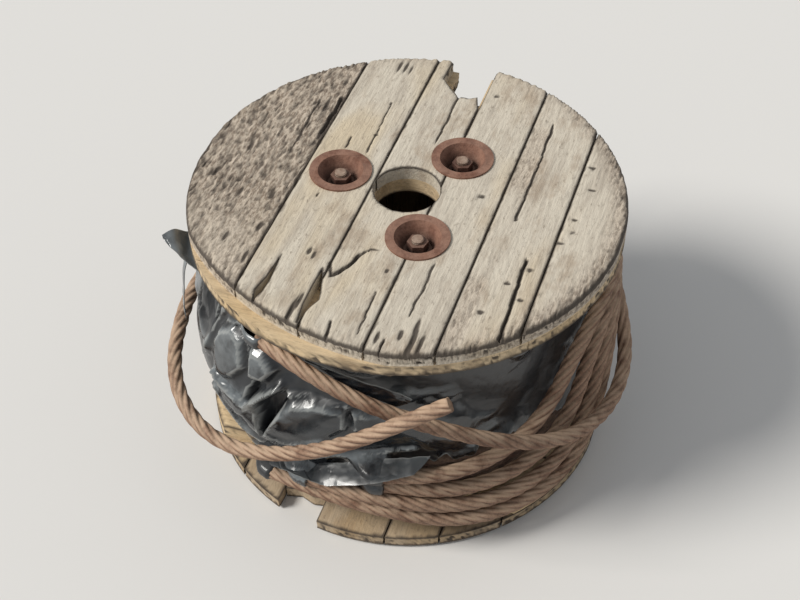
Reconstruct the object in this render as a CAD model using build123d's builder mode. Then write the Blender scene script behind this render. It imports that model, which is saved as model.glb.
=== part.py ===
from build123d import *
from math import copysign, cos, pi, radians, sin, tan
import os

# A wooden cable drum standing on end, wound with steel wire rope.
# Millimetres, +Z up, origin on the drum's axis at the face it stands on, -Y towards the viewer.

# Flanges: two plies of boards each
flange_diameter = 457.0
ply_thickness = 17.5
traverse = 248.0
arbor_diameter = 70.0
rim_wear = 3.0
board_gap = 1.4

# Board seams, measured across each ply from the axis
grain_angle = 71.0
top_outer_seams = [-113.0, -36.0, 32.0, 97.0, 166.0]
top_inner_seams = [-150.0, -77.0, -3.0, 70.0, 142.0]
bottom_inner_seams = [-78.0, -4.0, 66.0, 140.0]
bottom_outer_seams = [-132.0, -78.0, -30.0, 48.0, 104.0, 162.0]
missing_board_line = -150.0

# Worn and broken wood
worn_depth = 12.0
worn_direction = 230.0
worn_arc_radius = 310.0
# Outlines of broken places: (across the boards, in from the rim along the grain)
far_break = [
    (-20.0, -20.0), (-21.0, 37.0), (-10.0, 50.0), (4.0, 64.0), (16.0, 63.0), (25.0, 58.0), (31.0, 76.0),
    (33.0, 76.0), (33.0, -20.0),
]
break_step = 7.0
foot_break = [(-79.0, -20.0), (-79.0, 32.0), (-60.0, 37.0), (-44.0, 31.0), (-29.0, 34.0), (-29.0, -20.0)]
board_split = [(-86.5, 98.0), (-84.0, 62.0), (-85.0, 45.0), (-89.0, 34.0), (-93.0, 46.0), (-89.0, 66.0)]
seam_chip = [
    (-41.0, 92.0), (-36.7, 81.0), (-32.0, 65.0), (-29.0, 52.0), (-33.0, 42.0), (-36.0, 30.0), (-38.5, 19.0),
    (-41.5, 43.0), (-42.0, 70.0),
]

# Barrel of staves
barrel_diameter = 216.0
stave_thickness = 19.0
stave_count = 12
stave_gap = 0.8
stave_seat = 6.0
seat_clearance = 0.5

# Through bolts, nuts and dished cup washers, whose sloping wall is measured level
bolt_stave_gap = 4.0
bolt_angles = [38.0, 158.0, 278.0]
bolt_diameter = 12.7
bolt_hole_clearance = 0.8
bolt_tip_reach = 4.0
bolt_tip_chamfer = 1.0
hex_across_flats = 19.0
nut_height = 11.0
head_height = 8.0
thread_clearance = 0.15
cup_diameter = 66.0
cup_sheet = 2.0
cup_wall = 2.6
cup_mouth_diameter = 48.0
cup_floor_diameter = 29.0
cup_clearance = 0.4

# Wound rope and its film
rope_diameter = 16.0
winding_diameter = 400.0
turn_relief = 5.0
soft_clearance = 0.3
film_diameter = 424.0
film_edge_gap = 0.7
billow_radius = 186.0
billow_edge_radius = 150.0
billow_offset = 60.0
billow_direction = 207.0
billow_low = 45.0
billow_high = 281.0
# The torn lower edge: (azimuth, height above the film's lower edge)
film_tear = [(236.0, 0.0), (252.0, 48.0), (270.0, 92.0), (296.0, 102.0), (318.0, 76.0), (338.0, 34.0), (352.0, 0.0)]

# Derived sizes
flange_radius = flange_diameter / 2
flange_thickness = 2 * ply_thickness
overall_height = traverse + 2 * flange_thickness
top_flange_base = flange_thickness + traverse
barrel_apothem = barrel_diameter / 2 * cos(pi / stave_count)
stave_bore_apothem = barrel_apothem - stave_thickness
bolt_circle_radius = stave_bore_apothem - bolt_diameter / 2 - bolt_stave_gap
winding_radius = winding_diameter / 2
winding_bore_radius = barrel_diameter / 2 + soft_clearance
film_radius = film_diameter / 2
film_bore_radius = winding_radius + soft_clearance
cup_radius = cup_diameter / 2
cup_mouth_radius = cup_mouth_diameter / 2
cup_floor_radius = cup_floor_diameter / 2
bolt_radius = bolt_diameter / 2

# How a ply lies: the turn of its inner boards, the side its rim is worn round, and its boards' ends
INNER_TURN = 90.0
LOW_SIDE = 0
HIGH_SIDE = 1
FAR_END = 1
NEAR_END = -1


def around(radius, azimuth, height):
    """The point at a radius and an azimuth about the drum's axis, and at a height."""
    return Vector(radius * cos(radians(azimuth)), radius * sin(radians(azimuth)), height)


def ply_plane(height, turn):
    """A level plane whose x runs across a ply's boards and whose y runs along their grain."""
    across = radians(grain_angle - 90 + turn)
    return Plane(origin=(0, 0, height), x_dir=(cos(across), sin(across), 0), z_dir=(0, 0, 1))


def bolt_locations(height):
    """The three bolt positions at one height."""
    return [Location(around(bolt_circle_radius, angle, height)) for angle in bolt_angles]


# What is bored out of the outer plies: the arbor hole and the seats of the cup washers.
# The top cups lie on the wood, and the bottom ones are pressed flush into it.
def outer_ply_bores(face, inward, sunk):
    """The arbor hole and three dished seats that open at a flange's outer face."""
    seat_face = face + inward * sunk
    floor = seat_face + inward * ply_thickness
    with BuildPart() as bores:
        with Locations((0, 0, face + inward * ply_thickness / 2)):
            Cylinder(arbor_diameter / 2, ply_thickness * 1.5)
        for angle in bolt_angles:
            with BuildSketch(Plane(around(bolt_circle_radius, angle, seat_face), z_dir=(0, 0, inward))):
                Circle(cup_mouth_radius + cup_wall + cup_clearance)
            with BuildSketch(Plane(around(bolt_circle_radius, angle, floor), z_dir=(0, 0, inward))):
                Circle(cup_floor_radius + cup_wall + cup_clearance)
            loft()
            if sunk > 0:
                with BuildSketch(Plane(around(bolt_circle_radius, angle, face), z_dir=(0, 0, inward))):
                    Circle(cup_radius + cup_clearance)
                extrude(amount=sunk)
    return bores.part


# What is bored out of the inner plies: arbor hole, bolt holes, cup floors and the staves' groove
def inner_ply_bores(base, seat_side, cup_sunk):
    """The holes of an inner ply, with the ring groove for the staves open on one side."""
    if seat_side == HIGH_SIDE:
        groove_base = base + ply_thickness - stave_seat
        cup_base = base
    else:
        groove_base = base
        cup_base = base + ply_thickness - cup_sunk
    with BuildPart() as bores:
        with BuildSketch(Plane.XY.offset(base)):
            Circle(arbor_diameter / 2)
            with Locations(bolt_locations(0)):
                Circle(bolt_radius + bolt_hole_clearance)
        extrude(amount=ply_thickness)
        with BuildSketch(Plane.XY.offset(groove_base)):
            Circle(barrel_diameter / 2 + seat_clearance)
            Circle(stave_bore_apothem - seat_clearance, mode=Mode.SUBTRACT)
        extrude(amount=stave_seat)
        if cup_sunk > 0:
            cup_slope = (cup_mouth_radius - cup_floor_radius) / ply_thickness
            with BuildSketch(Plane.XY.offset(cup_base)):
                with Locations(bolt_locations(0)):
                    Circle(cup_floor_radius + cup_wall + cup_clearance + cup_slope * cup_sunk)
            extrude(amount=cup_sunk)
    return bores.part


def ply_disc(base, worn_side):
    """A whole ply before it is sawn into boards, its rim rounded on the weathered side."""
    with BuildPart() as disc:
        with BuildSketch(Plane.XZ):
            with BuildLine():
                rim_top = base + ply_thickness
                if worn_side == HIGH_SIDE:
                    Polyline((0, rim_top), (0, base), (flange_radius, base), (flange_radius, rim_top - rim_wear))
                    RadiusArc((flange_radius, rim_top - rim_wear), (flange_radius - rim_wear, rim_top), -rim_wear)
                    Line((flange_radius - rim_wear, rim_top), (0, rim_top))
                else:
                    Polyline((0, base), (0, rim_top), (flange_radius, rim_top), (flange_radius, base + rim_wear))
                    RadiusArc((flange_radius, base + rim_wear), (flange_radius - rim_wear, base), rim_wear)
                    Line((flange_radius - rim_wear, base), (0, base))
            make_face()
        revolve(axis=Axis.Z)
    return disc.part


def board(disc, plane, left, right, cuts):
    """The strip of a ply between two seams, less the bores and broken places that reach it."""
    with BuildPart() as strip:
        add(disc)
        with BuildSketch(plane):
            with Locations(((left + right) / 2, 0)):
                Rectangle(right - left - board_gap, flange_diameter * 1.1)
        extrude(amount=ply_thickness, mode=Mode.INTERSECT)
        for cut in cuts:
            add(cut, mode=Mode.SUBTRACT)
    return strip.part


def outline_cut(base, outline, end):
    """A prism through one ply, for a broken or split place near its far (1) or near (-1) end."""
    points = [(across, end * (flange_radius - inset)) for across, inset in outline]
    with BuildPart() as prism:
        with BuildSketch(ply_plane(base, 0)):
            with BuildLine():
                Polyline(*points, close=True)
            make_face()
        extrude(amount=ply_thickness)
    return prism.part


def export_board(solid, name):
    """Label one board and write it."""
    solid.label = name
    export_step(solid, f"parts/{name}.step")


def export_ply(name, disc, plane, seams, cuts):
    """Saw a ply into its boards and write each of them."""
    for number, (left, right) in enumerate(zip(seams[:-1], seams[1:]), start=1):
        export_board(board(disc, plane, left, right, cuts), f"{name}_board_{number}")


os.makedirs("parts", exist_ok=True)

# Top flange, outer ply: its edge is worn back at the front left and one board has lost its far end
top_outer_base = overall_height - ply_thickness
with BuildPart() as top_outer_disc:
    add(ply_disc(top_outer_base, HIGH_SIDE))
    worn_centre = worn_arc_radius - (flange_radius - worn_depth)
    with BuildSketch(Plane(around(-worn_centre, worn_direction, top_outer_base))):
        Circle(worn_arc_radius)
    extrude(amount=ply_thickness, mode=Mode.INTERSECT)
top_outer_cuts = [
    outer_ply_bores(overall_height, -1, 0.0),
    outline_cut(top_outer_base, far_break, FAR_END),
    outline_cut(top_outer_base, board_split, NEAR_END),
    outline_cut(top_outer_base, seam_chip, NEAR_END),
]
export_ply(
    "top_outer",
    top_outer_disc.part,
    ply_plane(top_outer_base, 0),
    [-flange_radius, *top_outer_seams, flange_radius],
    top_outer_cuts,
)

# Top flange, inner ply: the break goes through it too, with a narrow step left standing
inner_break = [(across + copysign(break_step, -across), inset - break_step) for across, inset in far_break]
export_ply(
    "top_inner",
    ply_disc(top_flange_base, LOW_SIDE),
    ply_plane(top_flange_base, INNER_TURN),
    [-flange_radius, *top_inner_seams, flange_radius],
    [inner_ply_bores(top_flange_base, LOW_SIDE, 0.0), outline_cut(top_flange_base, inner_break, FAR_END)],
)

# Bottom flange, inner ply: the outermost board at the front left is gone
export_ply(
    "bottom_inner",
    ply_disc(ply_thickness, HIGH_SIDE),
    ply_plane(ply_thickness, INNER_TURN),
    [missing_board_line, *bottom_inner_seams, flange_radius],
    [inner_ply_bores(ply_thickness, HIGH_SIDE, cup_sheet)],
)

# Bottom flange, outer ply: one board has lost its front end
export_ply(
    "bottom_outer",
    ply_disc(0, LOW_SIDE),
    ply_plane(0, 0),
    [-flange_radius, *bottom_outer_seams, flange_radius],
    [outer_ply_bores(0, 1, cup_sheet), outline_cut(0, foot_break, NEAR_END)],
)

# Barrel: straight staves on edge, seated in the grooves of both flanges
stave_base = flange_thickness - stave_seat
stave_length = traverse + 2 * stave_seat
inner_half = stave_bore_apothem * tan(pi / stave_count) - stave_gap / 2
outer_half = barrel_apothem * tan(pi / stave_count) - stave_gap / 2
for number in range(stave_count):
    with BuildPart() as stave:
        with BuildSketch(Plane.XY.offset(stave_base).rotated((0, 0, number * 360 / stave_count))):
            with BuildLine():
                Polyline(
                    (stave_bore_apothem, -inner_half),
                    (barrel_apothem, -outer_half),
                    (barrel_apothem, outer_half),
                    (stave_bore_apothem, inner_half),
                    close=True,
                )
            make_face()
        extrude(amount=stave_length)
    stave.part.label = f"barrel_stave_{number + 1}"
    export_step(stave.part, f"parts/barrel_stave_{number + 1}.step")


def cup_washer(face, inward, angle):
    """A pressed dish with a flat rim: it lies against a flange face and its floor on the inner ply."""
    with BuildPart() as cup:
        with BuildSketch(Plane(around(bolt_circle_radius, angle, face), x_dir=(1, 0, 0), z_dir=(0, -1, 0))):
            with BuildLine():
                Polyline(
                    (cup_radius, 0),
                    (cup_radius, -inward * cup_sheet),
                    (cup_mouth_radius, -inward * cup_sheet),
                    (cup_floor_radius, inward * (ply_thickness - cup_sheet)),
                    (bolt_radius + bolt_hole_clearance, inward * (ply_thickness - cup_sheet)),
                    (bolt_radius + bolt_hole_clearance, inward * ply_thickness),
                    (cup_floor_radius + cup_wall, inward * ply_thickness),
                    (cup_mouth_radius + cup_wall, 0),
                    close=True,
                )
            make_face()
        revolve(axis=Axis(around(bolt_circle_radius, angle, face), (0, 0, 1)))
    return cup.part


def through_bolt(angle):
    """A bolt with its hexagon head in the bottom cup and its tip standing out of the nut above."""
    head_seat = ply_thickness
    tip = top_nut_seat + nut_height + bolt_tip_reach
    with BuildPart() as bolt:
        with BuildSketch(Plane(around(bolt_circle_radius, angle, head_seat))):
            RegularPolygon(hex_across_flats / 2, 6, major_radius=False)
        extrude(amount=-head_height)
        with BuildSketch(Plane(around(bolt_circle_radius, angle, head_seat))):
            Circle(bolt_radius)
        extrude(amount=tip - head_seat)
        chamfer(bolt.faces().sort_by(Axis.Z)[-1].edges(), bolt_tip_chamfer)
    return bolt.part


def bolt_nut(angle):
    """A hexagon nut on the floor of a top cup."""
    with BuildPart() as nut:
        with BuildSketch(Plane(around(bolt_circle_radius, angle, top_nut_seat))):
            RegularPolygon(hex_across_flats / 2, 6, major_radius=False)
            Circle(bolt_radius + thread_clearance, mode=Mode.SUBTRACT)
        extrude(amount=nut_height)
    return nut.part


# Cup washers, bolts and nuts
top_nut_seat = overall_height - ply_thickness + cup_sheet
for number, angle in enumerate(bolt_angles, start=1):
    fittings = {
        f"top_cup_washer_{number}": cup_washer(overall_height, -1, angle),
        f"bottom_cup_washer_{number}": cup_washer(cup_sheet, 1, angle),
        f"through_bolt_{number}": through_bolt(angle),
        f"bolt_nut_{number}": bolt_nut(angle),
    }
    for name, solid in fittings.items():
        export_board(solid, name)

# Wound rope: one turned solid, each turn a rounded ridge on its outside and each layer one on its ends
turn_count = int(traverse // rope_diameter)
layer_count = int((winding_radius - winding_bore_radius) // rope_diameter)
winding_low = flange_thickness + soft_clearance
winding_high = top_flange_base - soft_clearance
core_low = winding_low + turn_relief
core_high = winding_high - turn_relief
core_radius = winding_radius - turn_relief
turn_pitch = (core_high - core_low) / turn_count
layer_pitch = (core_radius - winding_bore_radius) / layer_count
with BuildPart() as wound_rope:
    with BuildSketch(Plane.XZ):
        with BuildLine():
            for turn in range(turn_count):
                low = core_low + turn * turn_pitch
                ThreePointArc(
                    (core_radius, low),
                    (winding_radius, low + turn_pitch / 2),
                    (core_radius, low + turn_pitch),
                )
            for layer in range(layer_count):
                near = winding_bore_radius + layer * layer_pitch
                for end, reach in ((core_low, winding_low), (core_high, winding_high)):
                    ThreePointArc((near, end), (near + layer_pitch / 2, reach), (near + layer_pitch, end))
            Line((winding_bore_radius, core_low), (winding_bore_radius, core_high))
        make_face()
    revolve(axis=Axis.Z)
wound_rope.part.label = "wound_rope"
export_step(wound_rope.part, "parts/wound_rope.step")

# Film: a sleeve round the winding that billows out at the front left and is torn away low at the front
film_low = flange_thickness + film_edge_gap
film_high = top_flange_base - film_edge_gap
with BuildPart() as film_wrap:
    with BuildSketch(Plane.XY.offset(film_low)):
        Circle(film_radius)
    extrude(amount=film_high - film_low)
    billow_middle = (billow_low + billow_high) / 2
    with BuildSketch(Plane(around(billow_offset, billow_direction, 0), x_dir=(1, 0, 0), z_dir=(0, -1, 0))):
        with BuildLine():
            ThreePointArc(
                (billow_edge_radius, billow_low),
                (billow_radius, billow_middle),
                (billow_edge_radius, billow_high),
            )
            Polyline(
                (billow_edge_radius, billow_high),
                (0, billow_high),
                (0, billow_low),
                (billow_edge_radius, billow_low),
            )
        make_face()
    revolve(axis=Axis(around(billow_offset, billow_direction, 0), (0, 0, 1)))
    with BuildSketch(Plane.XY):
        Circle(film_bore_radius)
    extrude(amount=overall_height, mode=Mode.SUBTRACT)
    # The torn edge is cut as a row of upright wedges, each as high as the tear there
    for (start, low), (end, high) in zip(film_tear[:-1], film_tear[1:]):
        with BuildSketch(Plane.XY.offset(film_low)):
            with BuildLine():
                Polyline((0, 0), around(2 * film_radius, start, 0), around(2 * film_radius, end, 0), close=True)
            make_face()
        extrude(amount=(low + high) / 2, mode=Mode.SUBTRACT)
film_wrap.part.label = "film_wrap"
export_step(film_wrap.part, "parts/film_wrap.step")

# The rope's loose turns and its springing end: points (radius, azimuth, height) chosen by eye
loose_routes = {
    "rope_tail": [
        (221, 147, 147), (229, 157.5, 149), (238.5, 168, 151), (247, 179, 153), (255, 189, 154),
        (267, 198, 151), (276, 207, 143), (276, 216, 133), (267, 225, 130), (256, 234, 141),
        (251, 243, 162), (250, 252, 189), (250, 261, 219), (250, 270, 247), (250, 279, 267),
    ],
    "loose_turn_1": [
        (222, 229, 274), (226, 239, 271), (226, 250, 255), (227, 262, 234), (229, 274, 213),
        (234, 286, 189), (240, 297, 165), (245, 307, 144), (248, 317, 127), (251, 327, 118),
        (252, 336, 123.5), (248.5, 343.5, 138.5), (240, 349.5, 160), (231, 355.5, 181), (224.5, 3, 195),
        (221.5, 14, 201), (220.5, 25, 202),
    ],
    "loose_turn_2": [
        (224, 262, 122), (224, 273, 120), (223.5, 284, 123), (222.5, 295, 131), (222, 305, 148),
        (222, 312.5, 178), (222.5, 316.5, 208), (223.5, 321.5, 235), (223.5, 328.5, 255),
        (222.5, 337, 267), (221.5, 347, 272), (220.5, 358, 273),
    ],
    "loose_turn_3": [
        (222, 262, 105), (223, 272, 98), (224, 283, 92), (225, 294, 92), (225.5, 304.5, 99),
        (226, 313.5, 114), (226, 320.5, 142), (226, 324.5, 182), (226, 328.5, 211),
        (225.5, 334, 233), (224.5, 341.5, 248), (222.5, 350.5, 254.5), (220.5, 1, 255.5),
    ],
    "loose_turn_4": [
        (231, 242, 97), (230, 253, 95), (229, 264, 87), (229, 275, 77), (230, 287, 69),
        (231, 299, 66), (231, 311, 71), (231, 321, 88), (230, 328, 118), (229, 332, 155),
        (228, 335.5, 187), (226.5, 341, 212), (225, 348.5, 229), (222.5, 358, 236.5), (220.5, 8.5, 238),
    ],
    "loose_turn_5": [
        (229, 229, 66), (229, 240, 76), (229, 252, 76), (230, 264, 70), (232, 276, 56),
        (234, 288, 47), (235, 299, 46), (236, 310, 49), (235.5, 320, 60), (234, 328.5, 83),
        (232, 334.5, 117), (230, 338.5, 153), (228, 343.5, 185), (225.5, 351, 207), (223, 1, 218),
        (220.5, 12, 220.5),
    ],
}


def bend_radii(points):
    """One arc for each corner: 0.45 of the shorter run over the tangent of half the turn."""
    radii = []
    for before, here, after in zip(points[:-2], points[1:-1], points[2:]):
        arriving = here - before
        leaving = after - here
        half_turn = radians(arriving.get_angle(leaving)) / 2
        radii.append(0.45 * min(arriving.length, leaving.length) / tan(half_turn))
    return radii


for name, route in loose_routes.items():
    points = [around(*point) for point in route]
    radii = bend_radii(points)
    with BuildPart() as loose_turn:
        with BuildLine():
            path = FilletPolyline(*points, radius=radii)
        with BuildSketch(Plane(path @ 0, z_dir=path % 0)):
            Circle(rope_diameter / 2)
        sweep(path=path)
    loose_turn.part.label = name
    export_step(loose_turn.part, f"parts/{name}.step")
    expected = pi * (rope_diameter / 2) ** 2 * path.length
    print(name, "length", round(path.length), "tightest radius", round(min(radii)))
    print("  radii", [round(radius) for radius in radii])
    print("  volume", round(loose_turn.part.volume), "of", round(expected))
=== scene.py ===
# %% [markdown]
# A wooden cable drum, dressed around its CAD frame
#
# The drum is two round flanges, each sawn from two layers of boards, with a barrel of staves between them.
# Steel wire rope is wound on the barrel, a torn black film is wrapped round the rope, and five loose turns
# and the rope's free end stand off it. The frame holds all of these as plain solids. This lesson gives each
# of them its finish: relief and cracks in the wood, strands in the rope, crumples in the film, rust on the
# bolts. The drum's shapes are written in millimetres and become metres when a mesh is made. The camera, the
# lamp, the floor, the flat sizes of the film and what the materials read are in metres.

# %% Load the frame
from math import cos, pi, radians, sin

import bmesh
import bpy
import numpy as np
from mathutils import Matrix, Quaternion, Vector


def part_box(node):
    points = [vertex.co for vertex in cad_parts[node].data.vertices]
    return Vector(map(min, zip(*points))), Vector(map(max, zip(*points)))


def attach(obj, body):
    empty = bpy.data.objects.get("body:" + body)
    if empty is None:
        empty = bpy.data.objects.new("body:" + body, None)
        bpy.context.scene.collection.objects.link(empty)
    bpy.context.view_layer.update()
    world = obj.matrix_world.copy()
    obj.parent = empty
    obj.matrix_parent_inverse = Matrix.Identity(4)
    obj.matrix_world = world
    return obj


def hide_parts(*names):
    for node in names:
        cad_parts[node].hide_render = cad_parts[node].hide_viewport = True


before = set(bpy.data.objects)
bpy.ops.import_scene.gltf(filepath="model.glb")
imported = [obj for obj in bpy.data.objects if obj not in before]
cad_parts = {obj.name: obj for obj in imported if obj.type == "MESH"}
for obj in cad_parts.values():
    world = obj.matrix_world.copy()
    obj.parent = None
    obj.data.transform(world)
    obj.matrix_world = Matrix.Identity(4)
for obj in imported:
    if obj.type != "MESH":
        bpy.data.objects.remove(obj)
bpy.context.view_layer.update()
MM = 0.001
print("nodes in the frame:", len(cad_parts))

# %% [markdown]
# Camera, light and floor
#
# The photograph looks down on the drum from in front, so the camera stands a metre back and over a metre
# up. A pale even sky and one far, broad lamp at the left give soft shadows, and together they light a level
# face just enough that a colour shows about as it is written.

# %% Camera
scene = bpy.context.scene
scene.view_settings.view_transform = "Standard"
camera_place = Vector((0, -1.0492, 1.2489))
camera_aim = Vector((-0.0086, 0, 0.1507))
camera_roll = radians(0.685)
camera_data = bpy.data.cameras.new("camera")
camera_data.sensor_width = 36
camera_data.lens = 60.75
camera = bpy.data.objects.new("camera", camera_data)
scene.collection.objects.link(camera)
camera.location = camera_place
camera.rotation_mode = "QUATERNION"
level_look = (camera_aim - camera_place).to_track_quat("-Z", "Y")
camera.rotation_quaternion = level_look @ Quaternion((0, 0, 1), -camera_roll)
scene.camera = camera

# %% Sky, lamp and floor
sky_strength = 0.42
sky_colour = (0.93, 0.96, 1.0, 1)
lamp_colour = (1.0, 0.97, 0.92)
floor_colour = (0.71, 0.70, 0.68, 1)
floor_roughness = 0.9
lit_spot = Vector((0, 0, 0.15))
lamp_place = Vector((-1.75, -0.35, 1.75))
lamp_spread = radians(21)
lamp_strength = 3.1

sky = bpy.data.worlds.new("studio_sky")
sky.use_nodes = True
sky_inputs = sky.node_tree.nodes["Background"].inputs
sky_inputs["Color"].default_value = sky_colour
sky_inputs["Strength"].default_value = sky_strength
scene.world = sky

lamp_data = bpy.data.lights.new("broad_lamp", "SUN")
lamp_data.angle = lamp_spread
lamp_data.energy = lamp_strength
lamp_data.color = lamp_colour
lamp = bpy.data.objects.new("broad_lamp", lamp_data)
lamp.location = lamp_place
lamp.rotation_mode = "QUATERNION"
lamp.rotation_quaternion = (lit_spot - lamp_place).to_track_quat("-Z", "Y")
scene.collection.objects.link(lamp)

floor_reach = 6.0
floor_drop = 0.0005
corners = [(-1, -1), (1, -1), (1, 1), (-1, 1)]
floor_points = [(x * floor_reach, y * floor_reach, -floor_drop) for x, y in corners]
floor_mesh = bpy.data.meshes.new("floor")
floor_mesh.from_pydata(floor_points, [], [(0, 1, 2, 3)])
floor = bpy.data.objects.new("floor", floor_mesh)
scene.collection.objects.link(floor)
floor_paint = bpy.data.materials.new("pale_floor")
floor_paint.use_nodes = True
floor_inputs = floor_paint.node_tree.nodes["Principled BSDF"].inputs
floor_inputs["Base Color"].default_value = floor_colour
floor_inputs["Roughness"].default_value = floor_roughness
floor_mesh.materials.append(floor_paint)
print("camera, sky, lamp and floor are set")

# %% [markdown]
# Noise for relief
#
# Wood and crumpled film need bumps that look random but come out the same on each run. Value noise gives
# that: every corner of a lattice holds a number mixed from its own place, and a point between the corners
# blends the eight around it. Stretching the lattice along one axis gives fibres. Folding the noise about
# its middle gives the sharp ridges of a crease.

# %% Value noise and ridges
def corner_value(x, y, z, seed):
    """A number from 0 to 1 for each lattice corner, mixed from its three whole coordinates and a seed."""
    mixed = (x * 73856093) ^ (y * 19349663) ^ (z * 83492791) ^ (seed * 97531)
    mixed = (mixed & 0xFFFFFF) * 1103515245 + 12345
    mixed = ((mixed >> 7) ^ (mixed >> 15)) * 69069 + 907
    return ((mixed >> 9) & 0xFFFFF) / 0xFFFFF


def value_noise(x, y, z=0.0, seed=1, octaves=1):
    """Blended corner values summed over octaves, from 0 to 1. Each axis is blended by 3t^2 - 2t^3."""
    x, y, z = np.broadcast_arrays(np.asarray(x, float), np.asarray(y, float), np.asarray(z, float))
    total = np.zeros(x.shape)
    for octave in range(octaves):
        places = [axis * 2.0**octave + 1000 for axis in (x, y, z)]
        cells = [np.floor(place).astype(np.int64) for place in places]
        parts = [place - cell for place, cell in zip(places, cells)]
        weights = [part * part * (3 - 2 * part) for part in parts]
        blended = np.zeros(x.shape)
        for corner in range(8):
            steps = [corner & 1, corner >> 1 & 1, corner >> 2 & 1]
            share = np.ones(x.shape)
            for step, weight in zip(steps, weights):
                share = share * (weight if step else 1 - weight)
            value = corner_value(*[cell + step for cell, step in zip(cells, steps)], seed + 31 * octave)
            blended += share * value
        total += blended * 0.5 ** (octave + 1)
    return total / (1 - 0.5**octaves)


def ridged_noise(x, y, z=0.0, seed=1, octaves=1):
    """One minus twice the noise's distance from its middle: the middle becomes a sharp ridge at 1."""
    total = 0
    for octave in range(octaves):
        scale = 2.0**octave
        fold = 1 - 2 * np.abs(value_noise(x * scale, y * scale, z * scale, seed + 17 * octave) - 0.5)
        total = total + fold * 0.5 ** (octave + 1)
    return total / (1 - 0.5**octaves)


def smooth_step(low, high, value):
    """0 below low, 1 above high and 3t^2 - 2t^3 between, with t the share of the way."""
    share = np.clip((value - low) / (high - low), 0, 1)
    return share * share * (3 - 2 * share)


# %% [markdown]
# From points to a piece
#
# Every surface below is a grid of points worked out as whole arrays. One helper turns such points and their
# faces into a mesh. It welds what lies on the same spot, so that seams and poles close, turns the faces
# outwards and keeps the attributes that the materials read.

# %% Mesh helpers
def grid_faces(rows, columns, closed_rows=False, closed_columns=False):
    """Quads of a grid numbered row by row. A closed direction joins its last line to its first."""
    row, column = np.meshgrid(
        np.arange(rows if closed_rows else rows - 1),
        np.arange(columns if closed_columns else columns - 1),
        indexing="ij",
    )
    next_row = (row + 1) % rows
    next_column = (column + 1) % columns
    corners = [row * columns + column, row * columns + next_column]
    corners += [next_row * columns + next_column, next_row * columns + column]
    return np.stack(corners, -1).reshape(-1, 4)


def unit(vectors):
    """Vectors along the last axis, brought to length one."""
    return vectors / np.maximum(np.linalg.norm(vectors, axis=-1, keepdims=True), 1e-9)


def mesh_points(mesh):
    """The points of a mesh, in millimetres."""
    points = np.zeros(len(mesh.vertices) * 3, np.float32)
    mesh.vertices.foreach_get("co", points)
    return points.reshape(-1, 3).astype(float) / MM


def build_mesh(name, points, faces, attributes, sharp_angle=None, weld=0.0):
    """A mesh from points in millimetres and quads, with values or vectors kept on its points."""
    mesh = bpy.data.meshes.new(name)
    mesh.vertices.add(len(points))
    mesh.vertices.foreach_set("co", (np.asarray(points) * MM).astype(np.float32).ravel())
    mesh.loops.add(faces.size)
    mesh.loops.foreach_set("vertex_index", faces.astype(np.int32).ravel())
    mesh.polygons.add(len(faces))
    mesh.polygons.foreach_set("loop_start", np.arange(0, faces.size, 4, dtype=np.int32))
    mesh.update(calc_edges=True)
    for label, values in attributes.items():
        values = np.asarray(values, np.float32)
        if values.ndim == 1:
            mesh.attributes.new(label, "FLOAT", "POINT").data.foreach_set("value", values)
        else:
            mesh.attributes.new(label, "FLOAT_VECTOR", "POINT").data.foreach_set("vector", values.ravel())
    shell = bmesh.new()
    shell.from_mesh(mesh)
    if weld > 0:
        bmesh.ops.remove_doubles(shell, verts=shell.verts, dist=weld * MM)
    bmesh.ops.recalc_face_normals(shell, faces=shell.faces)
    shell.to_mesh(mesh)
    shell.free()
    mesh.polygons.foreach_set("use_smooth", np.ones(len(mesh.polygons), bool))
    if sharp_angle is not None:
        mesh.set_sharp_from_angle(angle=radians(sharp_angle))
    return mesh


def add_piece(name, mesh, material, slot, *nodes):
    """Put a mesh in the scene as one piece of the drum, in place of the CAD nodes that it stands for."""
    piece = bpy.data.objects.new(name, mesh)
    scene.collection.objects.link(piece)
    mesh.materials.append(material)
    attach(piece, "root")
    if nodes:
        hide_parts(*nodes)
    return piece


# %% [markdown]
# Shared effects for the materials
#
# Two effects come back in the rope, the film and the fittings: blotches that vary a colour, and dust that
# gathers on level faces. Each is a node group with named inputs and a mask as its output. Fibres that run
# one way are noise read at a stretched place. The shader itself stays in each material.

# %% Helpers for node trees
def new_material(name, roughness):
    """A material with its own shader, ready to be linked to."""
    material = bpy.data.materials.new(name)
    material.use_nodes = True
    tree = material.node_tree
    shader = tree.nodes["Principled BSDF"]
    shader.inputs["Roughness"].default_value = roughness
    return material, tree, shader


def node(tree, kind, links=(), **settings):
    """A node with its settings, its inputs linked to sockets or set to values, by name or by number."""
    made = tree.nodes.new(kind)
    for key, value in settings.items():
        setattr(made, key, value)
    for key, value in dict(links).items():
        if isinstance(value, bpy.types.NodeSocket):
            tree.links.new(value, made.inputs[key])
        else:
            made.inputs[key].default_value = value
    return made


def mix_colours(tree, share, first, second):
    """The colour between two others at a share of the way."""
    links = {0: share, 6: first, 7: second}
    return node(tree, "ShaderNodeMix", links, data_type="RGBA", clamp_factor=True).outputs[2]


def ramp(tree, value, low, high, to_low=0.0, to_high=1.0):
    """A mask that rises smoothly from to_low to to_high while the value goes from low to high."""
    links = {"Value": value, "From Min": low, "From Max": high, "To Min": to_low, "To Max": to_high}
    return node(tree, "ShaderNodeMapRange", links, interpolation_type="SMOOTHSTEP").outputs["Result"]


def combine(tree, operation, first, second=0.0):
    """The result of one arithmetic step on two values."""
    return node(tree, "ShaderNodeMath", {0: first, 1: second}, operation=operation).outputs[0]


def attribute(tree, name, output="Fac"):
    """A value or a vector that a mesh keeps on its points."""
    return node(tree, "ShaderNodeAttribute", attribute_name=name).outputs[output]


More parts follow.
